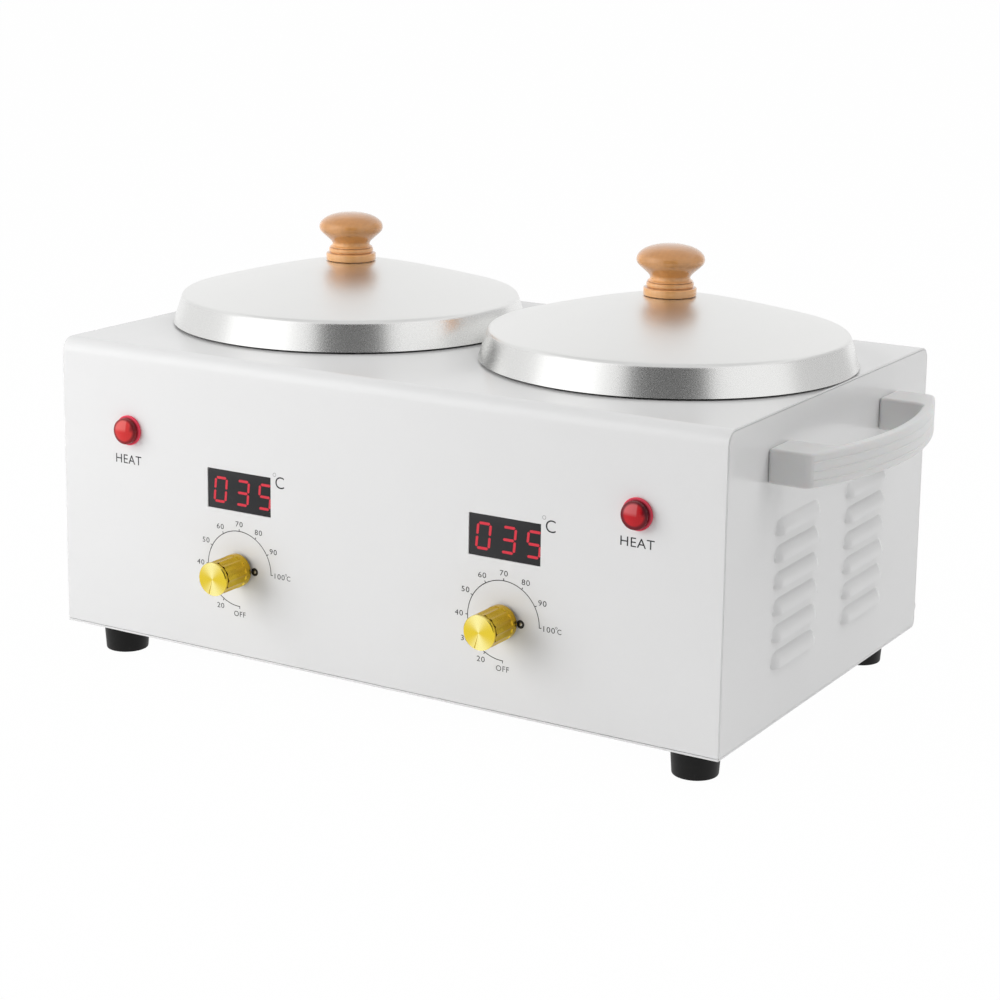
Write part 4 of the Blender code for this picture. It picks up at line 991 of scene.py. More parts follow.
@dataclass
class CaseShell:
    """The bent sheet wrap and the base plate, and the sizes that the side panels share."""

    sheet: float = 1.0 * MM
    bend: float = 7.0 * MM
    heel: float = 3.6 * MM
    bend_steps: int = 12
    well_steps: int = 128
    screw_steps: int = 32
    seam: float = 0.2 * MM
    flange: float = 14.0 * MM
    gap: float = 0.12 * MM
    edge: float = 0.22 * MM
    punch: float = 6.0 * MM
    base_punch: float = 8.0 * MM
    well_hole: float = 83.4 * MM
    window_gap: float = 0.2 * MM
    shaft_hole: float = 3.9 * MM
    tab_hole: float = 1.7 * MM
    tab_offset: float = 9.2 * MM
    lamp_hole: float = 5.9 * MM
    screw_hole: float = 2.2 * MM
    inlet_width: float = 28.1 * MM
    inlet_height: float = 20.1 * MM
    foot: float = 16.0 * MM
    shift: float = 9.1 * MM
    half_width: float = 185.0 * MM
    half_depth: float = 116.0 * MM
    height: float = 148.0 * MM

    @property
    def front(self) -> float:
        """Return the y of the front's skin."""
        return self.shift - self.half_depth

    @property
    def back(self) -> float:
        """Return the y of the back's skin."""
        return self.shift + self.half_depth

    @property
    def top(self) -> float:
        """Return the z of the top's skin."""
        return self.foot + self.height

    def skin(self, inset: float, steps: int) -> tuple[list[Point2], list[Point2]]:
        """Trace the bends of the case's section, this far inside its skin.

        Args:
            inset: The distance inside the skin.
            steps: How many chords each bend has.

        Returns:
            The (y, z) points over the front and back bends, and those round the heel.
        """
        bend, heel = self.bend - inset, self.heel - inset
        front, back = self.front + inset, self.back - inset
        top, bottom = self.top - inset, self.foot + inset
        return (arc((front + bend, top - bend), bend, 180, 90, steps)
                + arc((back - bend, top - bend), bend, 90, 0, steps),
                arc((back - heel, bottom + heel), heel, 0, -90, steps))

    def bent(self, name: str, path: Sequence[Point2]) -> Item:
        """Bend a sheet along a path.

        Args:
            name: The piece's name.
            path: The (y, z) points of the skin.

        Returns:
            The sheet, its thickness lying inside the skin.
        """
        form = bmesh.new()
        line = [form.verts.new((-self.half_width, y, z)) for y, z in path]
        swept(form, [form.edges.new(pair) for pair in zip(line, line[1:])], (2 * self.half_width, 0, 0))
        sheet = piece(name, form, ENAMEL)
        thicken(sheet, self.sheet, True)
        return sheet

    def punches(self, side: Side) -> list[Form]:
        """Make what punches one side's openings in the wrap.

        Args:
            side: The side.

        Returns:
            The cutters of the well, the window, the dial's shaft and tab, and the lamp.
        """
        well, dial, lamp = (box(side.of(node))[2] for node in ("well", "dial_shaft", "lamp_lens"))
        low, high, window = box(side.of("display"))
        size = (high.x - low.x + self.window_gap, self.punch, high.z - low.z + self.window_gap)
        return [shifted(rod(self.well_hole, self.punch, self.well_steps), well.x, well.y, self.top),
                block(size, (window.x, self.front, window.z)),
                *(moved(rod(radius, self.punch), facing_front(x, self.front, z)) for x, z, radius in (
                    (dial.x, dial.z, self.shaft_hole), (dial.x + self.tab_offset, dial.z, self.tab_hole),
                    (lamp.x, lamp.z, self.lamp_hole)))]

    def wrap(self) -> None:
        """Make the front, top and back in one sheet, with everything that is punched in it."""
        wrap = self.bent("wrap_sheet", [(self.front, self.foot + self.sheet + self.seam),
                                        *self.skin(0, self.bend_steps)[0],
                                        (self.back, self.foot + self.flange + self.seam)])
        inlet = box("mains_inlet")[2]
        cuts = [cut for side in Side for cut in self.punches(side)]
        carve(wrap, cuts + [block((self.inlet_width, self.punch, self.inlet_height),
                                  (inlet.x, self.back, inlet.z))])
        edge_rounding(wrap, self.edge)
        seat(wrap, "case", "white_enamel", "case_wrap")

    def base(self) -> None:
        """Make the base plate, with its back edge bent up."""
        base = self.bent("base_sheet", [(self.back, self.foot + self.flange),
                                        *self.skin(0, self.bend_steps)[1], (self.front, self.foot)])
        screws = [f"foot_screw_{corner}" for corner in CORNERS]
        screws += [f"base_screw_{side.label}_front" for side in Side]
        spots = [box(screw)[2] for screw in screws]
        carve(base, [shifted(rod(self.screw_hole, self.base_punch, self.screw_steps), spot.x, spot.y,
                             self.foot) for spot in spots])
        edge_rounding(base, self.edge)
        seat(base, "case", "white_enamel", "base_plate")


@dataclass
class SidePanel:
    """A flanged end panel with two columns of louvres pressed out of it, open below."""

    shell: CaseShell
    length: float = 48.0 * MM
    height: float = 7.2 * MM
    depth: float = 2.9 * MM
    end: float = 5.25 * MM
    roundness: float = 0.8
    rows: int = 6
    pitch: float = 12.5 * MM
    column_pitch: float = 80.0 * MM
    first: float = 27.8 * MM
    flange: float = 8.0 * MM
    fine: float = 0.75 * MM
    coarse: float = 6.0 * MM
    levels: int = 12
    level_power: float = 1.15
    bend_steps: int = 8
    sharp: float = 40

    def columns(self) -> list[float]:
        """Return the y of the middle of each column."""
        return [self.shell.shift + sign * self.column_pitch / 2 for sign in (-1, 1)]

    def mouths(self) -> list[float]:
        """Return the z of each row's mouth."""
        return [self.shell.foot + self.first + row * self.pitch for row in range(self.rows)]

    def on_mouth(self, z: float) -> bool:
        """Return whether a height is that of a mouth."""
        return any(abs(z - mouth) < TINY for mouth in self.mouths())

    def bulge(self, y: float, z: float) -> float:
        """Measure how far the panel stands out at a point above a mouth.

        Args:
            y: The point's y.
            z: The point's z.

        Returns:
            The distance out of the panel's plane.
        """
        for column in self.columns():
            along = abs(y - column)
            if along > self.length / 2:
                continue
            beyond = max(0.0, along - (self.length / 2 - self.end)) / self.end
            for mouth in self.mouths():
                if -TINY < z - mouth < self.height:
                    share = math.hypot(beyond, max(z - mouth, 0.0) / self.height)
                    return self.depth * math.cos(min(share, 1.0) * math.pi / 2) ** self.roundness
        return 0.0

    def rule(self, form: Form) -> None:
        """Rule the panel with the lines that the louvres need.

        Args:
            form: The flat panel, which gains the lines.
        """
        half, straight = self.length / 2, self.length - 2 * self.end
        ends, spans = round(self.end / self.fine), round(straight / self.coarse)
        offsets = [sign * (half - step * self.fine) for sign in (-1, 1) for step in range(ends + 1)]
        offsets += [self.end - half + step * straight / spans for step in range(1, spans)]
        for y in sorted({round(column + offset, 7) for column in self.columns() for offset in offsets}):
            ruled(form, (0, y, 0), (0, 1, 0))
        for mouth in self.mouths():
            for level in range(self.levels + 1):
                up = self.height * (level / self.levels) ** self.level_power
                ruled(form, (0, 0, mouth + up), (0, 0, 1))

    def slit(self, form: Form) -> None:
        """Open the mouths along their lower edges.

        Args:
            form: The ruled panel.
        """
        edges = []
        for edge in form.edges:
            flat = all(abs(vert.co.x) < TINY and self.on_mouth(vert.co.z) for vert in edge.verts)
            mid = (edge.verts[0].co.y + edge.verts[1].co.y) / 2
            level = abs(edge.verts[0].co.z - edge.verts[1].co.z) < TINY
            if flat and level and any(abs(mid - column) < self.length / 2 for column in self.columns()):
                edges.append(edge)
        bmesh.ops.split_edges(form, edges=edges)

    def press(self, form: Form) -> None:
        """Press the louvres out above their mouths.

        Args:
            form: The slit panel.
        """
        for vert in form.verts:
            if abs(vert.co.x) < TINY and vert.link_faces:
                heights = [face.calc_center_median().z for face in vert.link_faces]
                over = vert.is_boundary and sum(heights) / len(heights) > vert.co.z
                if over or not self.on_mouth(vert.co.z):
                    vert.co.x = self.bulge(vert.co.y, vert.co.z)

    def build(self, side: Side) -> None:
        """Make the panel of one side.

        Args:
            side: The side.
        """
        inset = self.shell.sheet + self.shell.gap
        over, heel = self.shell.skin(inset, self.bend_steps)
        form = bmesh.new()
        corner = (self.shell.front + inset, self.shell.foot + inset)
        face = form.faces.new([form.verts.new((0, y, z)) for y, z in [corner, *over, *heel]])
        swept(form, face.edges[:], (-self.flange, 0, 0))
        bmesh.ops.recalc_face_normals(form, faces=form.faces)
        if face.normal.x < 0:
            bmesh.ops.reverse_faces(form, faces=form.faces)
        self.rule(form)
        self.slit(form)
        self.press(form)
        if side is Side.LEFT:
            bmesh.ops.scale(form, vec=(-1, 1, 1), verts=form.verts)
            bmesh.ops.reverse_faces(form, faces=form.faces)
        place = Matrix.Translation((side.value * self.shell.half_width, 0, 0))
        panel = piece(side.of("louvred_panel"), form, ENAMEL, place, self.sharp)
        thicken(panel, self.shell.sheet, False, self.sharp)
        weigh(panel)
        seat(panel, "case", "white_enamel", side.of("side_panel"))


@dataclass
class Handle:
    """A moulded side handle with two legs, a bowed grip and fine grooves round its outer face."""

    span: float = 150.0 * MM
    height: float = 16.2 * MM
    reach: float = 36.0 * MM
    leg_reach: float = 20.0 * MM
    leg_width: float = 22.0 * MM
    grip: float = 5.6 * MM
    fillet: float = 7.0 * MM
    edge: float = 1.6 * MM
    root: float = 0.02 * MM
    grooves: int = 3
    groove_pitch: float = 4.2 * MM
    groove_radius: float = 0.6 * MM
    groove_depth: float = 0.28 * MM
    corner: float = 3.0 * MM
    bow_steps: int = 48
    inner_steps: int = 30
    fillet_steps: int = 10
    corner_steps: int = 6
    edge_steps: int = 4
    ring_steps: Sequence[int] = (12, 240)
    sharp: float = 40

    @property
    def radius(self) -> float:
        """Return the radius of the grip's outer arc."""
        rise = self.reach - self.leg_reach
        return (self.span ** 2 / 4 + rise ** 2) / (2 * rise)

    @property
    def centre(self) -> float:
        """Return how far out of the panel the outer arc's centre lies; it lies behind it."""
        return self.reach - self.radius

    def outline(self) -> list[Point2]:
        """Trace the handle's plan.

        Returns:
            Its (x, y) points from the panel.
        """
        half, inner_half = self.span / 2, self.span / 2 - self.leg_width
        radius, inner_radius = self.radius, self.radius - self.grip
        bend = inner_half - self.fillet
        outer, inner = (math.degrees(math.asin(share)) for share in (half / radius, bend / inner_radius))
        root = self.centre + inner_radius * math.cos(math.radians(inner)) - self.fillet
        return [(self.root, -half), *arc((self.centre, 0), radius, -outer, outer, self.bow_steps),
                (self.root, half), (self.root, inner_half),
                *arc((root, bend), self.fillet, 90, 0, self.fillet_steps),
                *arc((self.centre, 0), inner_radius, inner, -inner, self.inner_steps)[1:-1],
                *arc((root, -bend), self.fillet, 0, -90, self.fillet_steps), (self.root, -inner_half)]

    def rings(self) -> list[Form]:
        """Make what cuts the grooves.

        Returns:
            A ring about the outer arc's centre for each groove.
        """
        reach = self.radius + self.groove_radius - self.groove_depth
        heights = [(groove - (self.grooves - 1) / 2) * self.groove_pitch for groove in range(self.grooves)]
        section, around = self.ring_steps
        return [spin(arc((reach, height), self.groove_radius, 0, 360, section)[:-1], around, closed=True)
                for height in heights]

    def build(self, side: Side, shell: CaseShell) -> None:
        """Make the handle of one side.

        Args:
            side: The side.
            shell: The case that it is screwed to.
        """
        level = box(side.of("handle"))[2].z
        form = shifted(slab(self.outline(), self.height), 0, 0, -self.height / 2)
        corners = [edge for edge in form.edges
                   if abs(edge.verts[0].co.z - edge.verts[1].co.z) > self.height / 2
                   and all(vert.co.x > self.leg_reach - TINY and abs(vert.co.y) > self.span / 2 - TINY
                           for vert in edge.verts)]
        softened(rounded(form, corners, self.corner, self.corner_steps), self.edge, self.edge_steps)
        place = Matrix.Translation((side.value * shell.half_width, shell.shift, level))
        place = place @ turned(180 if side is Side.LEFT else 0)
        handle = piece(side.of("grip"), form, HANDLE_PLASTIC, place, self.sharp)
        place = place @ Matrix.Translation((self.centre, 0, 0))
        carve(handle, [moved(ring, place) for ring in self.rings()], self.sharp)
        weigh(handle)
        seat(handle, "case", "white_plastic", side.of("handle"))


@dataclass
class Vessel:
    """One heating well with its lift-out pot, its lid and the lid's wooden knob."""

    side: Side
    steps: int = 128
    well_radius: float = 83.0 * MM
    well_wall: float = 1.2 * MM
    well_flange: float = 4.5 * MM
    well_corner: float = 8.0 * MM
    stud: float = 2.5 * MM
    seat_gap: float = 0.3 * MM
    lip_round: float = 0.4 * MM
    lip_chamfer: float = 0.3 * MM
    shadow_ring_gap: float = 0.03 * MM
    shadow_ring_inset: Point2 = (1.2 * MM, 2.0 * MM)
    pot_wall: float = 1.5 * MM
    pot_clearance: float = 0.8 * MM
    pot_chamfer: float = 0.6 * MM
    rim_width: float = 2.8 * MM
    rim_height: float = 2.6 * MM
    corner_steps: int = 8
    roll_steps: int = 10
    lid_sheet: float = 1.0 * MM
    lid_radius: float = 92.5 * MM
    screw_hole: float = 1.8 * MM
    shoulder: float = 88.4 * MM
    shoulder_round: float = 3.0 * MM
    shoulder_lean: float = 75.0
    shoulder_end: float = 10.0
    skirt: float = 15.0 * MM
    rise: float = 16.3 * MM
    seat_radius: float = 13.5 * MM
    dome_power: float = 1.2
    dome_steps: int = 26
    sharp: float = 50
    knob_steps: int = 96
    knob_profile: tuple[Point2, ...] = (
        (0.0, 24.8), (3.5, 24.7), (7.0, 24.3), (10.2, 23.5), (12.6, 22.5), (14.4, 21.3), (15.6, 20.1),
        (16.3, 18.9), (16.6, 17.6), (16.5, 16.5), (16.0, 15.4), (15.0, 14.3), (13.6, 13.0), (12.2, 11.8),
        (11.0, 10.7), (10.2, 9.8), (9.8, 9.0), (9.75, 8.3), (10.0, 7.8), (10.6, 7.35), (10.9, 7.15),
        (10.95, 6.9), (10.55, 6.75), (10.6, 6.6), (11.1, 6.5), (11.45, 6.2), (11.55, 5.5), (11.5, 4.7),
        (11.3, 4.3), (11.1, 4.15), (11.15, 4.0), (12.4, 3.9), (12.8, 3.7), (12.95, 3.3), (12.95, 0.4),
        (12.8, 0.1), (12.5, 0.0), (1.7, 0.0), (1.7, 13.0), (0.0, 13.0))

    def axis(self, node: str, level: float = 0.0) -> Matrix:
        """Return the matrix that stands a turned form on a node's axis, at a level."""
        centre = box(self.side.of(node))[2]
        return Matrix.Translation((centre.x, centre.y, level))

    def well(self, top: float) -> None:
        """Make the fixed well, hung by its flange in the case's top.

        Args:
            top: The level of the case's top.
        """
        low = box(self.side.of("well"))[0].z
        floor = box(self.side.of("pot"))[0].z - self.seat_gap
        under, corner = floor - self.well_wall, self.well_corner
        inner, outer = self.well_radius - self.well_wall, self.well_radius + self.well_flange
        bend = corner - self.well_wall
        lip = top + self.seat_gap
        high = lip + self.well_wall
        profile = [(0, floor), *arc((inner - bend, floor + bend), bend, -90, 0, self.corner_steps),
                   (inner, lip), (inner + self.lip_round, high), (outer - self.lip_chamfer, high),
                   (outer, high - self.lip_chamfer), (outer, lip), (self.well_radius, lip),
                   *arc((self.well_radius - corner, under + corner), corner, 0, -90, self.corner_steps),
                   (self.stud, under), (self.stud, low), (0, low)]
        seat(piece(self.side.of("spun_well"), spin(profile, self.steps), POT_METAL, self.axis("well")),
             "case", "bare_aluminium", self.side.of("well"))

    def shadow_ring(self, top: float) -> None:
        """Make the thin black ring under the well's flange; it fills the seat gap, and its black is painted
        shade for the shadow line under the lid's edge.

        Args:
            top: The level of the case's top.
        """
        inner, outer = self.well_radius + self.shadow_ring_inset[0], self.lid_radius - self.shadow_ring_inset[1]
        low, high = top + self.shadow_ring_gap, top + self.seat_gap - self.shadow_ring_gap
        profile = [(inner, low), (outer, low), (outer, high), (inner, high)]
        # Painted shade: a black ring where the lid's edge casts its thin shadow line.
        seat(piece(self.side.of("well_shadow_ring"), spin(profile, self.steps, closed=True), RUBBER,
                   self.axis("well")), "case", "black_rubber")

    def pot(self) -> None:
        """Make the lift-out pot with its rolled rim."""
        low, high = (corner.z for corner in box(self.side.of("pot"))[:2])
        outer = self.well_radius - self.well_wall - self.pot_clearance
        inner = outer - self.pot_wall
        corner = self.well_corner - self.well_wall
        bend, roll = corner - self.pot_wall, self.rim_height / 2
        floor = low + self.pot_wall
        profile = [(0, floor), *arc((inner - bend, floor + bend), bend, -90, 0, self.corner_steps),
                   (inner, high - self.pot_chamfer), (inner + self.pot_chamfer, high),
                   *arc((outer + self.rim_width - roll, high - roll), roll, 90, -90, self.roll_steps),
                   (outer, high - self.rim_height),
                   *arc((outer - corner, low + corner), corner, 0, -90, self.corner_steps), (0, low)]
        seat(piece(self.side.of("spun_pot"), spin(profile, self.steps), POT_METAL, self.axis("pot")),
             self.side.label + "_pot", "bare_aluminium", self.side.of("pot"))

    def dome(self, top: float) -> list[Point2]:
        """Trace the lid's skin from its screw's hole to the shoulder's rounding.

        Args:
            top: The level that the shoulder's rounding reaches up to.

        Returns:
            The radii and heights, the last of them where the rounding starts.
        """
        lean = math.radians(self.shoulder_lean)
        edge = self.shoulder - self.shoulder_round * (1 - math.cos(lean))
        fall = self.rise + self.shoulder_round * (1 - math.sin(lean))
        shares = [step / self.dome_steps for step in range(self.dome_steps + 1)]
        return [(self.screw_hole, top + self.rise),
                *((self.seat_radius + (edge - self.seat_radius) * share,
                   top + self.rise - fall * share ** self.dome_power) for share in shares)]

    def lid(self) -> None:
        """Make the spun lid: a low dome, a rounded shoulder and a flared skirt."""
        top = box(self.side.of("lid"))[1].z - self.rise
        foot, sheet = top - self.skirt, self.lid_sheet
        flare = math.atan2(self.lid_radius - self.shoulder, self.skirt)
        dome = self.dome(top)[:-1]
        shoulder = arc((self.shoulder - self.shoulder_round, top - self.shoulder_round),
                       self.shoulder_round, self.shoulder_lean, self.shoulder_end, self.corner_steps)
        inner = [(radius, height - sheet) for radius, height in dome]
        inner += [(radius - sheet * math.cos(flare), height - sheet / 2) for radius, height in shoulder]
        profile = [*dome, *shoulder, (self.lid_radius, foot), (self.lid_radius - sheet, foot), *inner[::-1]]
        seat(piece(self.side.of("spun_lid"), spin(profile, self.steps, closed=True), LID_METAL,
                   self.axis("lid"), self.sharp),
             self.side.label + "_lid", "bare_aluminium", self.side.of("lid"))

    def knob(self) -> None:
        """Make the lid's turned wooden knob."""
        low, high = (corner.z for corner in box(self.side.of("lid_knob"))[:2])
        scale = (high - low) / max(height for _, height in self.knob_profile)
        form = spin([(radius * MM, height * scale) for radius, height in self.knob_profile],
                    self.knob_steps)
        seat(piece(self.side.of("turned_knob"), form, KNOB_WOOD, self.axis("lid_knob", low), self.sharp),
             self.side.label + "_lid", "lacquered_wood", self.side.of("lid_knob"))


@dataclass
class Dial:
    """A gold dial knob, the scale printed round it and the collar of its locating hole."""

    side: Side
    shell: CaseShell
    radius: float = 8.3 * MM
    lip: float = 1.6 * MM
    groove: float = 1.15 * MM
    groove_depth: float = 0.8 * MM
    band: float = 3.4 * MM
    chamfer: float = 0.5 * MM
    small: float = 0.1 * MM
    flutes: int = 14
    facets_per_flute: int = 10
    flute_depth: float = 0.55 * MM
    flute_share: float = 0.84
    run_out: float = 0.9 * MM
    recess: float = 6.4 * MM
    recess_depth: float = 4.5 * MM
    bore: float = 3.3 * MM
    bore_depth: float = 14.1 * MM
    sharp: float = 28
    mark: Point3 = (1.9 * MM, 0.20 * MM, 0.06 * MM)
    mark_inset: float = 1.85 * MM
    pointer_angle: float = -105.0
    scale_radius: float = 18.85 * MM
    scale_sweep: float = 270.0
    scale_steps: int = 108
    line: float = 0.40 * MM
    tick: float = 1.35 * MM
    ink: float = 0.02 * MM
    number_size: Point2 = (2.6 * MM, 1.14)
    word_size: Point2 = (2.65 * MM, 1.0)
    spacing: float = 1.14
    unit_size: Point2 = (2.4 * MM, -0.002)
    unit_place: Point2 = (29.5 * MM, -0.1 * MM)
    degree_size: Point2 = (0.48 * MM, 0.17 * MM)
    degree_place: Point2 = (27.9 * MM, 1.5 * MM)
    collar_radii: Point3 = (1.25 * MM, 1.6 * MM, 2.0 * MM)
    collar_rise: float = 0.25 * MM
    collar_depth: float = 0.2 * MM
    collar_steps: int = 40
    tip: Point2 = (0.8 * MM, 0.2 * MM)
    tip_steps: int = 24
    tip_edge: float = 0.06 * MM
    labels: tuple[tuple[str, float, float], ...] = (
        ("OFF", -90.0, 22.9), ("20", -120.0, 23.4), ("30", -150.0, 23.6), ("40", 180.0, 23.8),
        ("50", 150.0, 23.5), ("60", 120.0, 23.0), ("70", 90.0, 22.6), ("80", 60.0, 23.2),
        ("90", 30.0, 23.6), ("100", 0.0, 24.2))

    def place(self, y: float, aside: float = 0.0) -> Matrix:
        """Return the matrix that puts a form on the dial's axis or aside of it, facing the front."""
        middle = box(self.side.of("dial_shaft"))[2]
        return facing_front(middle.x + aside, y, middle.z)

    def flute(self, angle: float) -> float:
        """Measure the flutes.

        Args:
            angle: The direction from the axis, in radians.

        Returns:
            How deep they are there.
        """
        turn = (angle / (2 * math.pi) * self.flutes) % 1.0
        across = (turn - 0.5) / (self.flute_share / 2)
        return self.flute_depth * math.sqrt(max(0.0, 1 - across * across))

    def profile(self, length: float) -> list[Point2]:
        """Trace the knob's section.

        Args:
            length: The knob's length.

        Returns:
            The radii and heights, from the middle of the face to the end of the bore.
        """
        full, small = self.radius, self.small
        shy, rim, lip = full - small, full - self.chamfer, length - self.lip
        waist, start, end = full - self.groove_depth, lip - self.groove, self.band
        return [(0, length), (rim - 2.5 * small, length), (rim - 1.5 * small, length),
                (rim, length - small / 5), (shy, length - self.chamfer * 0.7),
                (full, length - self.chamfer), (full, lip + small), (shy, lip), (waist, lip),
                (waist, start), (shy, start), (full, start - small), (full, end + self.run_out),
                (full, end + self.run_out / 2), (full, end), (full, 2 * small), (full - 2 * small, 0),
                (self.recess, 0), (self.recess, self.recess_depth), (self.bore, self.recess_depth),
                (self.bore, self.bore_depth), (0, self.bore_depth)]

    def knob(self) -> None:
        """Make the fluted gold knob."""
        low, high = (corner.y for corner in box(self.side.of("dial_knob"))[:2])
        length = high - low
        waist, top = self.radius - self.groove_depth, length - self.lip - self.groove
        form = spin(self.profile(length), self.flutes * self.facets_per_flute)
        for vert in form.verts:
            reach = math.hypot(vert.co.x, vert.co.y)
            if self.band < vert.co.z < top + TINY and reach > waist + self.groove_depth / 2:
                depth = self.flute(math.atan2(vert.co.y, vert.co.x))
                fade = min(1.0, (vert.co.z - self.band) / self.run_out) ** 0.5
                vert.co.xy *= (reach - depth * fade) / reach
        place = self.place(high)
        knob = piece(self.side.of("gold_knob"), form, GOLD, place, self.sharp)
        mark = block(self.mark, (self.radius - self.mark_inset, 0, length))
        carve(knob, [moved(mark, place @ turned(self.pointer_angle))], self.sharp)
        seat(knob, self.side.label + "_dial", "gold_aluminium", self.side.of("dial_knob"))

    def print_scale(self) -> None:
        """Print the scale on the case's front: its arc, its ticks, its numbers and its unit."""
        start, end = (self.scale_radius, 0, 0), (self.scale_radius + self.line, 0, 0)
        forms = [ribbon(start, end, self.scale_sweep, self.scale_steps)]
        flat = Matrix.Translation((self.scale_radius + self.tick / 2, 0, 0))
        flat = flat @ Matrix.Diagonal((self.tick, self.line, 1, 1))
        for text, angle, radius in self.labels:
            turn = turned(angle)
            tick = bmesh.new()
            bmesh.ops.create_grid(tick, x_segments=1, y_segments=1, size=0.5, matrix=turn @ flat)
            height, wide = self.word_size if text == "OFF" else self.number_size
            spot = turn @ Vector((radius * MM, 0, 0))
            forms += [tick, shifted(lettering(text, height, 0.0, self.spacing, wide), spot.x, spot.y)]
        forms += [shifted(lettering("C", *self.unit_size), *self.unit_place),
                  shifted(degree_ring(*self.degree_size), *self.degree_place)]
        whole = shifted(merge(forms), 0, 0, self.ink)
        seat(piece(self.side.of("dial_print"), whole, INK, self.place(self.shell.front)),
             "case", "black_plastic")

    def collar(self) -> None:
        """Make the black collar that lines the locating hole, its black also painted shade round the hole,
        and the tip in it.
        """
        inner, neck, outer = self.collar_radii
        rise, deep, small = self.collar_rise, self.collar_depth, self.small
        profile = [(inner, -deep), (inner, rise - small), (inner + small, rise),
                   (outer - 1.5 * small, rise), (outer, rise - 1.5 * small), (outer, small / 10),
                   (neck, small / 10), (neck, -deep)]
        place = self.place(self.shell.front, self.shell.tab_offset)
        # Painted shade, in part: the collar's black darkens the hole's edge.
        collar = piece(self.side.of("hole_collar"), spin(profile, self.collar_steps, closed=True),
                       BLACK_MOULD, place)
        tip = softened(rod(*self.tip, self.tip_steps), self.tip_edge)
        seat(piece(self.side.of("locating_tip"), tip, ZINC_PLATE, place), "case", "zinc_steel")
        seat(collar, "case", "black_plastic")


@dataclass
class Display:
    """A three-digit display behind its window, with the degree sign and C beside it."""

    side: Side
    shell: CaseShell
    digits: str = "035"
    height: float = 13.1 * MM
    width: float = 7.9 * MM
    stroke: float = 1.28 * MM
    stroke_gap: float = 0.7 * MM
    tip_share: float = 0.4
    slant: float = math.radians(5)
    pitch: float = 13.3 * MM
    first: float = -11.25 * MM
    drop: float = -0.25 * MM
    relief: float = 0.05 * MM
    margin: float = 0.15 * MM
    edge: float = 0.25 * MM
    ink: float = 0.02 * MM
    unit_size: Point2 = (5.8 * MM, 0.006)
    ring_size: Point2 = (0.85 * MM, 0.22 * MM)
    units_left: tuple[Point2, Point2] = ((24.5 * MM, 8.2 * MM), (21.4 * MM, 11.8 * MM))
    units_right: tuple[Point2, Point2] = ((24.05 * MM, 9.65 * MM), (20.6 * MM, 13.3 * MM))

    def strokes(self, digit: str) -> str:
        """Return the lit strokes of a digit, from the letters a to g."""
        return {"0": "abcdef", "3": "abcdg", "5": "acdfg"}[digit]

    def bar(self, letter: str) -> Form:
        """Make one stroke of a digit, a long hexagon.

        Args:
            letter: The stroke's letter: a at the top, then clockwise to f, and g across the middle.

        Returns:
            The raised stroke.
        """
        half_width, half_height = self.width / 2 - self.stroke / 2, self.height / 2 - self.stroke / 2
        across = letter in "adg"
        end = ((2 * half_width if across else half_height) - self.stroke_gap) / 2
        half, tip = self.stroke / 2, self.stroke * self.tip_share
        outline = [(-end, 0), (-end + tip, half), (end - tip, half), (end, 0), (end - tip, -half),
                   (-end + tip, -half)]
        spots = {"a": (0, 1), "d": (0, -1), "g": (0, 0), "b": (1, 0.5), "c": (1, -0.5), "e": (-1, -0.5),
                 "f": (-1, 0.5)}
        aside, up = spots[letter]
        return shifted(moved(slab(outline, self.relief), turned(0 if across else 90)),
                       aside * half_width, up * half_height)

    def build(self) -> None:
        """Make the display's window and its lit digits, and print its unit on the case."""
        low, high, centre = box(self.side.of("display"))
        window = softened(block(high - low, centre), self.edge)
        seat(piece(self.side.of("display_window"), window, WINDOW),
             "case", "black_plastic", self.side.of("display"))
        digits = merge(shifted(self.bar(letter), self.first + index * self.pitch, self.drop)
                       for index, digit in enumerate(self.digits) for letter in self.strokes(digit))
        for vert in digits.verts:
            vert.co.x += vert.co.y * math.tan(self.slant)
        limit = (high.x - low.x) / 2 - self.margin
        bmesh.ops.edgeloop_fill(digits, edges=ruled(digits, (limit, 0, 0), (1, 0, 0), clear=True))
        place = facing_front(centre.x, low.y, centre.z)
        seat(piece(self.side.of("display_digits"), digits, LED_RED, place), "case", "red_lens")
        place = facing_front(centre.x, self.shell.front, centre.z)
        spots = self.units_left if self.side is Side.LEFT else self.units_right
        for name, form, spot, ink in (
                ("unit_letter", lettering("C", *self.unit_size), spots[0], INK),
                ("unit_ring", degree_ring(*self.ring_size), spots[1], PALE_INK)):
            seat(piece(self.side.of(name), shifted(form, *spot, self.ink), ink, place),
                 "case", "black_plastic")


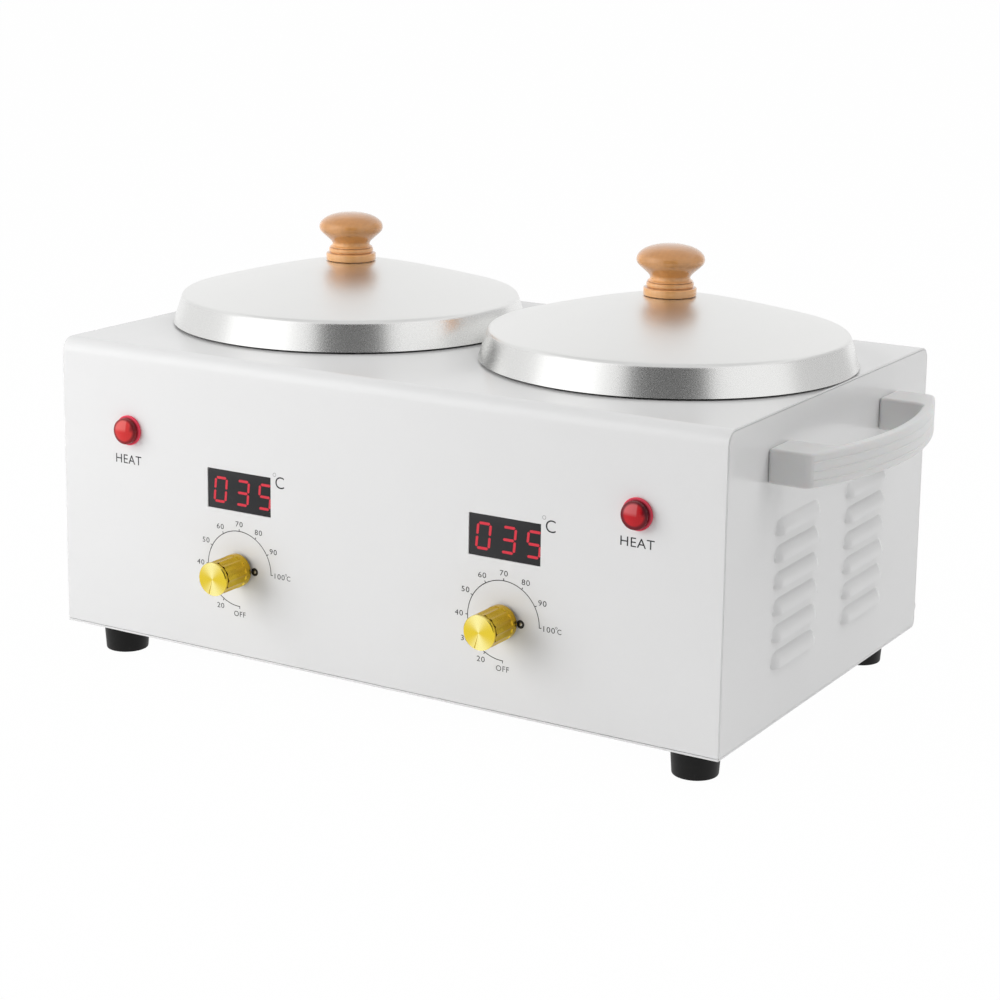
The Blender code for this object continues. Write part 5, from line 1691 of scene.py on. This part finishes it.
@dataclass
class Lamp:
    """A red indicator lamp with the word below it."""

    side: Side
    shell: CaseShell
    radius: float = 7.5 * MM
    flange: float = 1.0 * MM
    underside: float = 0.3 * MM
    barrel: float = 6.5 * MM
    face: float = 5.75 * MM
    drum: float = 5.0 * MM
    dome: float = 0.9 * MM
    drop: float = 1.2 * MM
    neck: float = 5.5 * MM
    small: float = 0.1 * MM
    steps: int = 72
    dome_steps: int = 14
    edge_sweep: float = 80.0
    edge_steps: int = 5
    sharp: float = 30
    ink: float = 0.02 * MM
    word: str = "HEAT"
    word_thin: float = 0.002
    word_spread: float = 1.06
    word_left: tuple[Point2, Point2] = ((-151.5 * MM, -135.4 * MM), (104.4 * MM, 108.9 * MM))
    word_right: tuple[Point2, Point2] = ((134.3 * MM, 151.2 * MM), (106.4 * MM, 110.7 * MM))

    def profile(self, end: float) -> list[Point2]:
        """Trace the cap's section.

        Args:
            end: The height of its inner end.

        Returns:
            The radii and heights, from the dome's middle to the inner end's.
        """
        peak, small = self.drum + self.dome, self.small
        curve = (self.face ** 2 + self.drop ** 2) / (2 * self.drop)
        radii = [self.face * step / self.dome_steps for step in range(self.dome_steps + 1)]
        edge = self.barrel - self.face
        return [*((radius, peak - curve + math.sqrt(curve ** 2 - radius ** 2)) for radius in radii),
                *arc((self.face, peak - self.drop - edge), edge, self.edge_sweep, 0, self.edge_steps),
                (self.barrel, self.flange + 5 * small), (self.radius - 1.5 * small, self.flange + 3 * small),
                (self.radius, self.flange + small), (self.radius, self.underside),
                (self.neck, self.underside), (self.neck, end), (0, end)]

    def build(self) -> None:
        """Make the lamp's cap and print its word on the case."""
        _, high, centre = box(self.side.of("lamp_lens"))
        form = spin(self.profile(self.shell.front - high.y), self.steps)
        cap = piece(self.side.of("red_cap"), form, LIT_CAP if self.side is Side.LEFT else RED_CAP,
                    facing_front(centre.x, self.shell.front, centre.z), self.sharp)
        seat(cap, "case", "red_lens", self.side.of("lamp_lens"))
        (low_x, high_x), (low_z, high_z) = self.word_left if self.side is Side.LEFT else self.word_right
        letters = lettering(self.word, high_z - low_z, self.word_thin, self.word_spread)
        width = max(vert.co.x for vert in letters.verts) * 2
        bmesh.ops.scale(letters, vec=((high_x - low_x) / width, 1, 1), verts=letters.verts)
        spot = facing_front((low_x + high_x) / 2, self.shell.front - self.ink, (low_z + high_z) / 2)
        seat(piece(self.side.of("lamp_word"), letters, INK, spot), "case", "black_plastic")


@dataclass(frozen=True)
class Screw:
    """A pan-head screw with a cross recess, made in place of a plain one."""

    node: str
    body: str = "case"
    axis: Point3 = (0, 0, -1)
    radius: float = 1.9 * MM
    head_radius: float = 3.8 * MM
    head: float = 2.4 * MM
    length: float = 7.0 * MM
    crown: float = 2.4 * MM
    flat_share: float = 0.45
    point_share: float = 0.4
    cross: Point3 = (1.15, 0.24, 1.3)
    cross_level: float = 0.95
    crown_angles: Sequence[float] = (15, 30, 45, 60, 75, 90)
    steps: int = 32
    sharp: float = 40

    def build(self) -> None:
        """Make the screw, its head facing along its axis and its crown as high as stated."""
        angles = [math.radians(degrees) for degrees in self.crown_angles]
        profile = [(0, self.crown)]
        profile += [(self.head_radius * math.sin(angle),
                     self.crown * (self.flat_share + (1 - self.flat_share) * math.cos(angle)))
                    for angle in angles]
        profile += [(self.head_radius, 0), (self.radius, 0), (self.radius, self.radius - self.length),
                    (self.radius * self.point_share, -self.length), (0, -self.length)]
        low, high, centre = box(self.node)
        base = Vector([(high[i] if way > 0 else low[i]) - way * self.head if way else centre[i]
                       for i, way in enumerate(self.axis)])
        turn = Vector(self.axis).to_track_quat('Z', 'Y').to_matrix().to_4x4()
        place = Matrix.Translation(base) @ turn
        item = piece("cross_" + self.node, spin(profile, self.steps), ZINC, place, self.sharp)
        size = (self.head_radius * self.cross[0], self.head_radius * self.cross[1],
                self.crown * self.cross[2])
        carve(item, [moved(block(size, (0, 0, self.crown * self.cross_level)), place @ turned(degrees))
                     for degrees in (0, 90)], self.sharp)
        seat(item, self.body, "zinc_steel", self.node)


@dataclass
class Fixings:
    """The rubber feet and the screws that can be seen."""

    foot_top: float = 11.8 * MM
    foot_bottom: float = 10.7 * MM
    foot_round: float = 0.6 * MM
    foot_bulge: Point2 = (0.05 * MM, 0.8 * MM)
    chamfer: float = 0.3 * MM
    recess: float = 5.2 * MM
    recess_round: float = 0.4 * MM
    recess_depth: float = 6.5 * MM
    bore: float = 2.2 * MM
    steps: int = 72
    round_steps: int = 5

    def foot(self, corner: str) -> None:
        """Make one tapered rubber foot.

        Args:
            corner: The corner's words in the node's name.
        """
        _, high, centre = box("foot_" + corner)
        profile = [(self.bore, high.z), (self.foot_top - self.chamfer, high.z),
                   (self.foot_top, high.z - self.chamfer),
                   (self.foot_bottom + self.foot_bulge[0], self.foot_bulge[1]),
                   *arc((self.foot_bottom - self.foot_round, self.foot_round), self.foot_round, 0, -90,
                        self.round_steps),
                   (self.recess + self.recess_round, 0), (self.recess, self.recess_round),
                   (self.recess, self.recess_depth), (self.bore, self.recess_depth)]
        item = piece("rubber_foot_" + corner, spin(profile, self.steps, closed=True), RUBBER,
                     Matrix.Translation((centre.x, centre.y, 0)))
        seat(item, "case", "black_rubber", "foot_" + corner)

    def build(self) -> None:
        """Make the feet and the screws."""
        for corner in CORNERS:
            self.foot(corner)
            Screw("foot_screw_" + corner, length=16 * MM).build()
        for side in Side:
            Screw(f"base_screw_{side.label}_front", crown=0.9 * MM).build()
            Screw(f"base_screw_{side.label}_back", axis=(0, 1, 0)).build()
            Screw(side.of("lid_screw"), side.label + "_lid", radius=1.5 * MM, head_radius=5.0 * MM,
                  head=2.2 * MM, length=15 * MM, crown=2.2 * MM).build()


class Inside:
    """The solids that keep their shape: what the case hides, and the mains inlet."""

    finishes: dict[str, Finish] = {
        "handle_screw": ZINC_PLATE, "inlet_screw": ZINC_PLATE, "heater_clamp": ZINC_PLATE, "heater": MICA,
        "thermal_cutout": BLACK_MOULD, "control_board": BOARD, "potentiometer": DARK_ZINC,
        "dial_shaft": ZINC_PLATE, "lamp_body": BLACK_MOULD, "inlet_pin": NICKEL, "mains_inlet": BLACK_MOULD}

    def build(self) -> None:
        """Give each kept solid the finish that the start of its name asks for."""
        for name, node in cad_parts.items():
            finish = next((self.finishes[start] for start in self.finishes if name.startswith(start)), None)
            for slot in node.material_slots if finish else ():
                slot.material = finish.material()
        LOG.info("kept solids are finished")


# ---- the studio


@dataclass(frozen=True)
class SoftLamp:
    """A soft lamp that no reflection shows: where it hangs, its square's side and its watts."""

    name: str
    place: Point3
    size: float
    power: float
    aim: Point3 = (0, 0, 0.08)

    def hang(self) -> None:
        """Hang the lamp, pointing at the warmer."""
        data = bpy.data.lights.new(self.name, 'AREA')
        data.shape = 'SQUARE'
        data.size = self.size
        data.energy = self.power
        item = bpy.data.objects.new(self.name, data)
        item.location = self.place
        way = Vector(self.aim) - Vector(self.place)
        item.rotation_euler = way.to_track_quat('-Z', 'Y').to_euler()
        item.visible_glossy = False
        bpy.context.scene.collection.objects.link(item)


@dataclass(frozen=True)
class Panel:
    """A panel that only reflections show, as bright as its level says, where 1 is white.

    A wall stands at an azimuth and spans part of the way round the warmer, both in degrees, at a distance and
    between two heights. One that shades also keeps the room's light off the warmer. A ceiling has no span.
    """

    name: str
    level: float
    azimuth: float = 0.0
    span: float = 0.0
    distance: float = 1.5
    low: float = 0.0
    high: float = 1.9
    shades: bool = False
    wall_steps: int = 16
    ceiling_steps: int = 48

    def form(self) -> Form:
        """Make the panel's form.

        Returns:
            A round ceiling, or a wall that is bent about the warmer.
        """
        if self.span:
            wall = ribbon((self.distance, 0, self.low), (self.distance, 0, self.high), self.span,
                          self.wall_steps)
            return moved(wall, turned(self.azimuth - self.span / 2))
        ceiling = bmesh.new()
        bmesh.ops.create_circle(ceiling, cap_ends=True, segments=self.ceiling_steps, radius=self.distance,
                                matrix=Matrix.Translation((0, 0, self.high)))
        return ceiling

    def stand(self) -> None:
        """Stand the panel in the room."""
        material = bpy.data.materials.new(self.name)
        material.use_nodes = True
        book = NodeBook(material.node_tree)
        book.fill(material.node_tree.nodes["Principled BSDF"].inputs, {
            "Base Color": (0, 0, 0, 1), "Specular IOR Level": 0, "Emission Color": (1, 1, 1, 1),
            "Emission Strength": self.level})
        item = shown(self.name, self.form(), material)
        item.visible_camera = False
        item.visible_diffuse = self.shades
        item.visible_shadow = False


@dataclass
class Studio:
    """The camera, the floor, the world, the lamps and the panels."""

    eye: Point3 = (0.602292, -0.993652, 0.389595)
    yaw: float = 0.5385
    pitch: float = 0.1986
    roll: float = 0.0141
    lens: float = 85.006
    film_width: float = 36
    nearest: float = 0.01
    shift: Point2 = (-0.00218, -0.13924)
    open_light: float = 0.34
    floor_share: float = 0.99
    floor_size: float = 30.0
    floor_colour: Colour = (0.9, 0.9, 0.9)
    floor_roughness: float = 0.9
    lamps: tuple[SoftLamp, ...] = (
        SoftLamp("key_lamp", (-1.10, -1.15, 0.68), 1.4, 22), SoftLamp("top_lamp", (0.7, 0.5, 1.6), 1.4, 10),
        SoftLamp("side_lamp", (2.0, 0.6, 1.0), 1.2, 7.0))
    panels: tuple[Panel, ...] = (
        Panel("dark_panel", 0.13, -58.5, 47, 1.05, 0.05, 1.1, True),
        Panel("bright_panel", 1.35, -121, 44, 1.05, 0.1, 1.3),
        Panel("left_panel", 0.88, -172, 50, 1.6, 0.1, 1.4),
        Panel("grey_panel", 0.66, 45, 58, 1.6, 0.1, 1.4),
        Panel("back_panel", 0.97, 104, 44, 1.6, 0.1, 1.4),
        Panel("ceiling_panel", 0.76))

    def camera(self) -> None:
        """Set the camera where the photograph was taken from."""
        ahead = Vector((-math.sin(self.yaw) * math.cos(self.pitch),
                        math.cos(self.yaw) * math.cos(self.pitch), -math.sin(self.pitch)))
        right = Vector((math.cos(self.yaw), math.sin(self.yaw), 0))
        upward = right.cross(ahead)
        across = right * math.cos(self.roll) + upward * math.sin(self.roll)
        up = upward * math.cos(self.roll) - right * math.sin(self.roll)
        data = bpy.data.cameras.new("camera")
        data.lens = self.lens
        data.sensor_width = self.film_width
        data.shift_x, data.shift_y = self.shift
        data.clip_start = self.nearest
        item = bpy.data.objects.new("camera", data)
        turn = Matrix((across, up, -ahead)).transposed().to_4x4()
        item.matrix_world = Matrix.Translation(self.eye) @ turn
        bpy.context.scene.collection.objects.link(item)
        bpy.context.scene.camera = item

    def white_ray(self, book: NodeBook) -> Term:
        """Tell the rays that see the white background from the light's own rays.

        Args:
            book: The node book of the floor or the world.

        Returns:
            1 for the rays that see it, and 0 for the others.
        """
        path = book.add("ShaderNodeLightPath", output="Is Camera Ray")
        glossy = Term(book, path.socket.node.outputs["Is Glossy Ray"])
        through = Term(book, path.socket.node.outputs["Is Transmission Ray"])
        return path.largest(glossy).largest(through)

    def floor(self) -> None:
        """Lay the pale floor."""
        form = bmesh.new()
        bmesh.ops.create_grid(form, x_segments=1, y_segments=1, size=self.floor_size)
        material = bpy.data.materials.new("white_floor")
        material.use_nodes = True
        nodes = material.node_tree.nodes
        book = NodeBook(material.node_tree)
        book.fill(nodes["Principled BSDF"].inputs,
                  {"Base Color": (*self.floor_colour, 1), "Roughness": self.floor_roughness})
        glow = book.add("ShaderNodeEmission", None, {"Color": (1, 1, 1, 1), "Strength": 1.0})
        both = book.add("ShaderNodeMixShader", None, {
            0: self.white_ray(book) * self.floor_share,
            1: Term(book, nodes["Principled BSDF"].outputs[0]), 2: glow})
        book.fill(nodes["Material Output"].inputs, {"Surface": both})
        shown("floor", form, material)

    def world(self) -> None:
        """Fill the room with even light, and show it white."""
        world = bpy.data.worlds.new("room")
        bpy.context.scene.world = world
        world.use_nodes = True
        book = NodeBook(world.node_tree)
        strength = self.white_ray(book) * (1 - self.open_light) + self.open_light
        book.fill(world.node_tree.nodes["Background"].inputs, {"Color": (1, 1, 1, 1), "Strength": strength})

    def build(self) -> None:
        """Set up the studio."""
        bpy.context.scene.view_settings.view_transform = 'Standard'
        self.camera()
        self.floor()
        self.world()
        for lamp in self.lamps:
            lamp.hang()
        for panel in self.panels:
            panel.stand()
        LOG.info("studio is set up")


def main() -> None:
    """Build the looks of the warmer, piece by piece."""
    logging.basicConfig(level=logging.INFO, format="%(name)s: %(message)s")
    Studio().build()
    shell = CaseShell()
    shell.wrap()
    shell.base()
    for side in Side:
        SidePanel(shell).build(side)
        Handle().build(side, shell)
        vessel = Vessel(side)
        vessel.well(shell.top)
        vessel.shadow_ring(shell.top)
        vessel.pot()
        vessel.lid()
        vessel.knob()
        dial = Dial(side, shell)
        dial.knob()
        dial.print_scale()
        dial.collar()
        Display(side, shell).build()
        Lamp(side, shell).build()
    Fixings().build()
    Inside().build()


if __name__ == "__main__":
    main()
